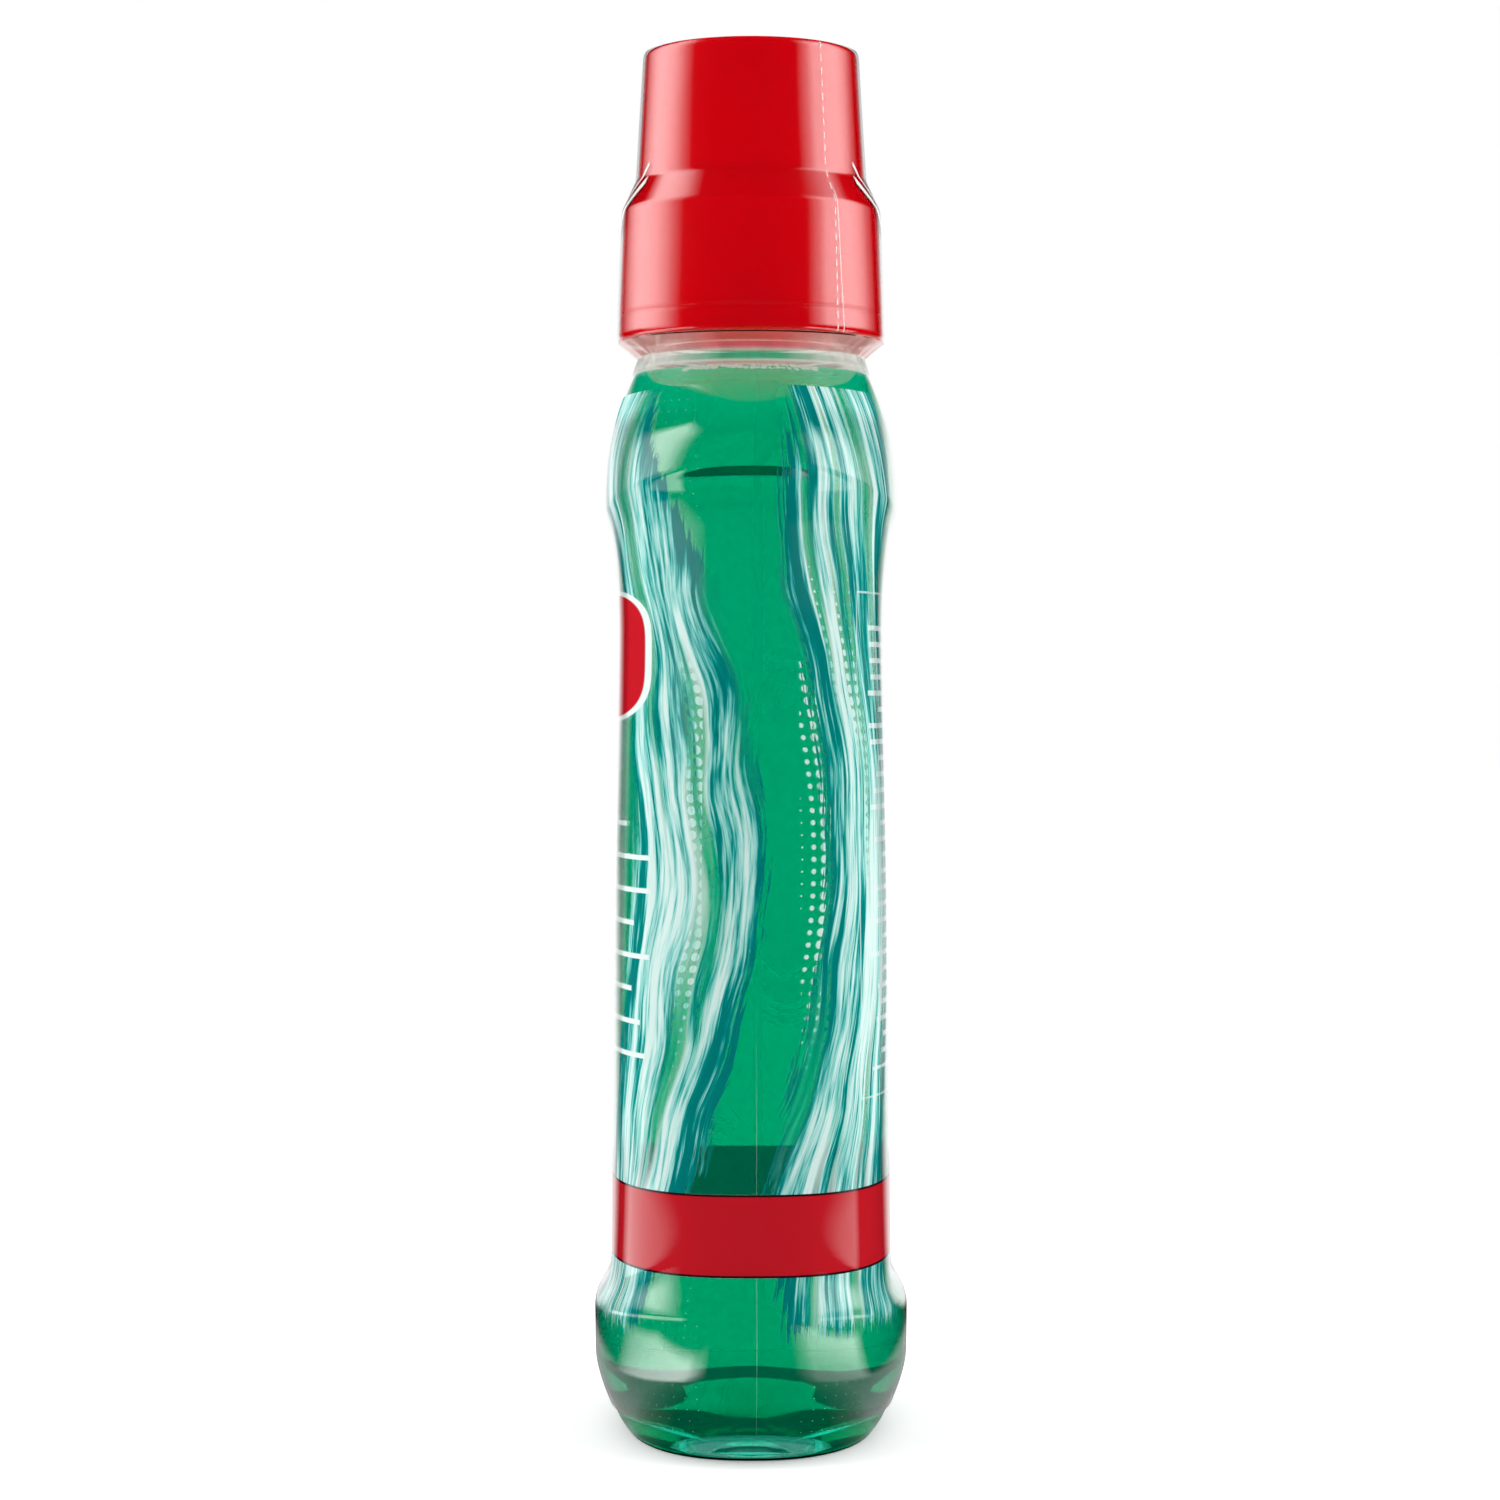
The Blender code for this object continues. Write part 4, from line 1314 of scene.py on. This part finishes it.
def studio_world():
    """The studio round the bottle. The camera sees white. In gloss there are a tall soft light at
    the left, a lower one at the right and a white sweep behind, and the front is dark. What shows
    through the bottle is white behind it and dim in front, and diffuse light comes from all
    round."""
    world = bpy.data.worlds.new("studio")
    bpy.context.scene.world = world
    world.use_nodes = True
    world.cycles.sampling_method = "NONE"
    tree = world.node_tree
    tree.nodes.clear()
    x, y, z = parts(add(tree, "TexCoord", out="Generated"))
    facing = y * -1.0 / calc("MAXIMUM", calc("SQRT", x * x + y * y), 0.001)
    way = calc("ARCCOSINE", facing) / math.pi
    low_edge = spread(z, *LOW_EDGE)
    height = z + (calc("MAXIMUM", way, FALL_START) - FALL_START) * FALL
    left = mixed(low_edge, levels(way, LOW_LIGHT), levels(way, LEFT_LIGHT))
    left = left * spread(height, *LEFT_TOP)
    right = levels(way, RIGHT_LIGHT) * spread(height, *RIGHT_TOP) * low_edge
    side = mixed(calc("GREATER_THAN", x, 0.0), left, right) * LIGHT_STRENGTH
    gloss = side + levels(way, SWEEP) * spread(z, *SWEEP_TOP)
    light = levels(way, ALL_ROUND)
    for ray, seen in (
        ("Is Glossy Ray", gloss),
        ("Is Transmission Ray", spread(facing, *SEEN_THROUGH)),
        ("Is Camera Ray", WHITE),
    ):
        light = mixed(add(tree, "LightPath", out=ray), light, seen)
    output = node(tree, "OutputWorld")
    join(add(tree, "Background", {"Color": light}), output.inputs[0])


# Floor disc, a little below the foot.
FLOOR_RADIUS = 6.0
FLOOR_STEPS = 96
FLOOR_DROP = 0.0001

# Glow of the floor in gloss. The far glow goes by the distance from the bottle, and ends towards
# the camera and behind, where its end lies further back on the left.
FLOOR_GLOW = ((0.19, 0.0), (0.23, 1.7), (0.36, 1.7), (0.45, 0.0))
GLOW_FRONT, GLOW_BEHIND = (0.66, 0.56), (-0.08, 0.04)
GLOW_END, GLOW_END_LEFT = -0.28, -0.42

# The near ring goes by the distance in half sizes of the bulge, and reaches less far at the front
# left.
RING_NEAR, RING_FAR = (2.4, 2.75), (5.3, 4.6)
RING_LEFT, RING_RIGHT = (-0.35, 0.8, 0.0, 4.0), (2.8, 4.6, 0.8, 2.6)
RING_RIGHT_FROM, RING_FRONT = (0.0, 0.2), (0.92, 0.78)
RING_SLANT = (0.3, 0.85, 0.0, 1.7)
DIM_NEAR, DIM_FRONT = (2.9, 2.5, 0.0, 0.3), (0.9, 0.6)

# Where the floor carries on the low light and the sweep, by the distance, and how it shows through
# the bottle, by how far in front of the axis it lies.
LOW_LIGHT_FROM = (0.9, 1.5)
SWEEP_FROM = (0.12, 0.20)
FLOOR_THROUGH = (0.03, 0.06, 1.2, 0.12)

# How much the floor lights itself, so that its shadow stays faint.
FLOOR_LIT = 0.2


def white_floor(tree):
    """A plain white floor that takes the bottle's shadow. In gloss it is dark, as under the
    studio's lights, with a far glow, a near ring and the light and sweep that reach down to it."""
    place = object_place(tree)
    x, y, _ = parts(place)
    away = vector("LENGTH", place, out="Value")
    forward = y * -1.0
    facing = forward / away
    on_left = calc("LESS_THAN", x, 0.0)
    behind = facing - (on_left * GLOW_END_LEFT + GLOW_END)
    glow = spread(facing, *GLOW_FRONT) * spread(behind, *GLOW_BEHIND) * levels(away, FLOOR_GLOW)

    half_sizes = (2 / BULGE[2], 2 / BULGE[3], 0.0)
    oval = vector("LENGTH", vector("MULTIPLY", place, half_sizes), out="Value")
    right = spread(oval, *RING_RIGHT) * spread(facing, *RING_RIGHT_FROM)
    slanted = spread(facing, *RING_SLANT) * on_left + oval
    reach = spread(oval, *RING_NEAR) * spread(slanted, *RING_FAR) * spread(facing, *RING_FRONT)
    ring = mixed(on_left, right, spread(facing, *RING_LEFT)) * reach
    glow = glow + ring + spread(oval, *DIM_NEAR) * spread(facing, *DIM_FRONT)

    way = calc("ARCCOSINE", facing) / math.pi
    low_light = levels(way, LOW_LIGHT) * on_left * LIGHT_STRENGTH * spread(away, *LOW_LIGHT_FROM)
    glow = most(glow + low_light, levels(way, SWEEP) * spread(away, *SWEEP_FROM))
    through = add(tree, "LightPath", out="Is Transmission Ray")
    shine = add(tree, "Emission", {"Color": mixed(through, glow, spread(forward, *FLOOR_THROUGH))})

    lit = add(tree, "BsdfDiffuse", {"Color": (0.96, 0.96, 0.96, 1.0)})
    own_light = add(tree, "Emission", {"Color": WHITE, "Strength": FLOOR_LIT})
    seen = [add(tree, "LightPath", out=ray) for ray in ("Is Camera Ray", "Is Diffuse Ray")]
    return (blend(most(*seen), shine, add(tree, "AddShader", {0: lit, 1: own_light})),)


def floor():
    """A plain disc, large enough to reach the horizon."""
    turn = 2 * math.pi * np.arange(FLOOR_STEPS) / FLOOR_STEPS
    level = np.full(FLOOR_STEPS, -FLOOR_DROP)
    points = np.stack([FLOOR_RADIUS * np.cos(turn), FLOOR_RADIUS * np.sin(turn), level], axis=1)
    mesh = mesh_of("floor", points, [list(range(FLOOR_STEPS))])
    mesh.materials.append(material("floor", white_floor))
    disc = placed("floor", mesh)


class BOTTLE_OT_stage(BuildStep, bpy.types.Operator):
    """Set the camera, floor, lights and surroundings"""

    bl_idname = "bottle.stage"
    bl_label = "Studio"

    def build(self):
        camera()
        studio_world()
        floor()
        scene = bpy.context.scene
        scene.view_settings.view_transform = "Standard"
        scene.cycles.max_bounces = 32
        scene.cycles.transmission_bounces = 32
        scene.cycles.glossy_bounces = 16
        scene.cycles.transparent_max_bounces = 64


class BOTTLE_PT_panel(bpy.types.Panel):
    """Lists the bottle's pieces and settings"""

    bl_label = "Mouthwash bottle"
    bl_idname = "BOTTLE_PT_panel"
    bl_space_type = "VIEW_3D"
    bl_region_type = "UI"
    bl_category = "Bottle"

    def draw(self, context):
        for name in BottleSettings.__annotations__:
            self.layout.prop(context.scene.mouthwash_bottle, name)
        for operator in OPERATORS:
            self.layout.operator(operator.bl_idname)


OPERATORS = (BOTTLE_OT_wall, BOTTLE_OT_liquid, BOTTLE_OT_cap, BOTTLE_OT_sleeve, BOTTLE_OT_stage)
CLASSES = (BottleSettings, *OPERATORS, BOTTLE_PT_panel)


def register():
    for kind in CLASSES:
        bpy.utils.register_class(kind)
    bpy.types.Scene.mouthwash_bottle = bpy.props.PointerProperty(type=BottleSettings)


def unregister():
    del bpy.types.Scene.mouthwash_bottle
    for kind in reversed(CLASSES):
        bpy.utils.unregister_class(kind)


def main():
    """Builds every piece and the stage."""
    register()
    for operator in OPERATORS:
        group, name = operator.bl_idname.split(".")
        getattr(getattr(bpy.ops, group), name)()


if __name__ == "__main__":
    main()
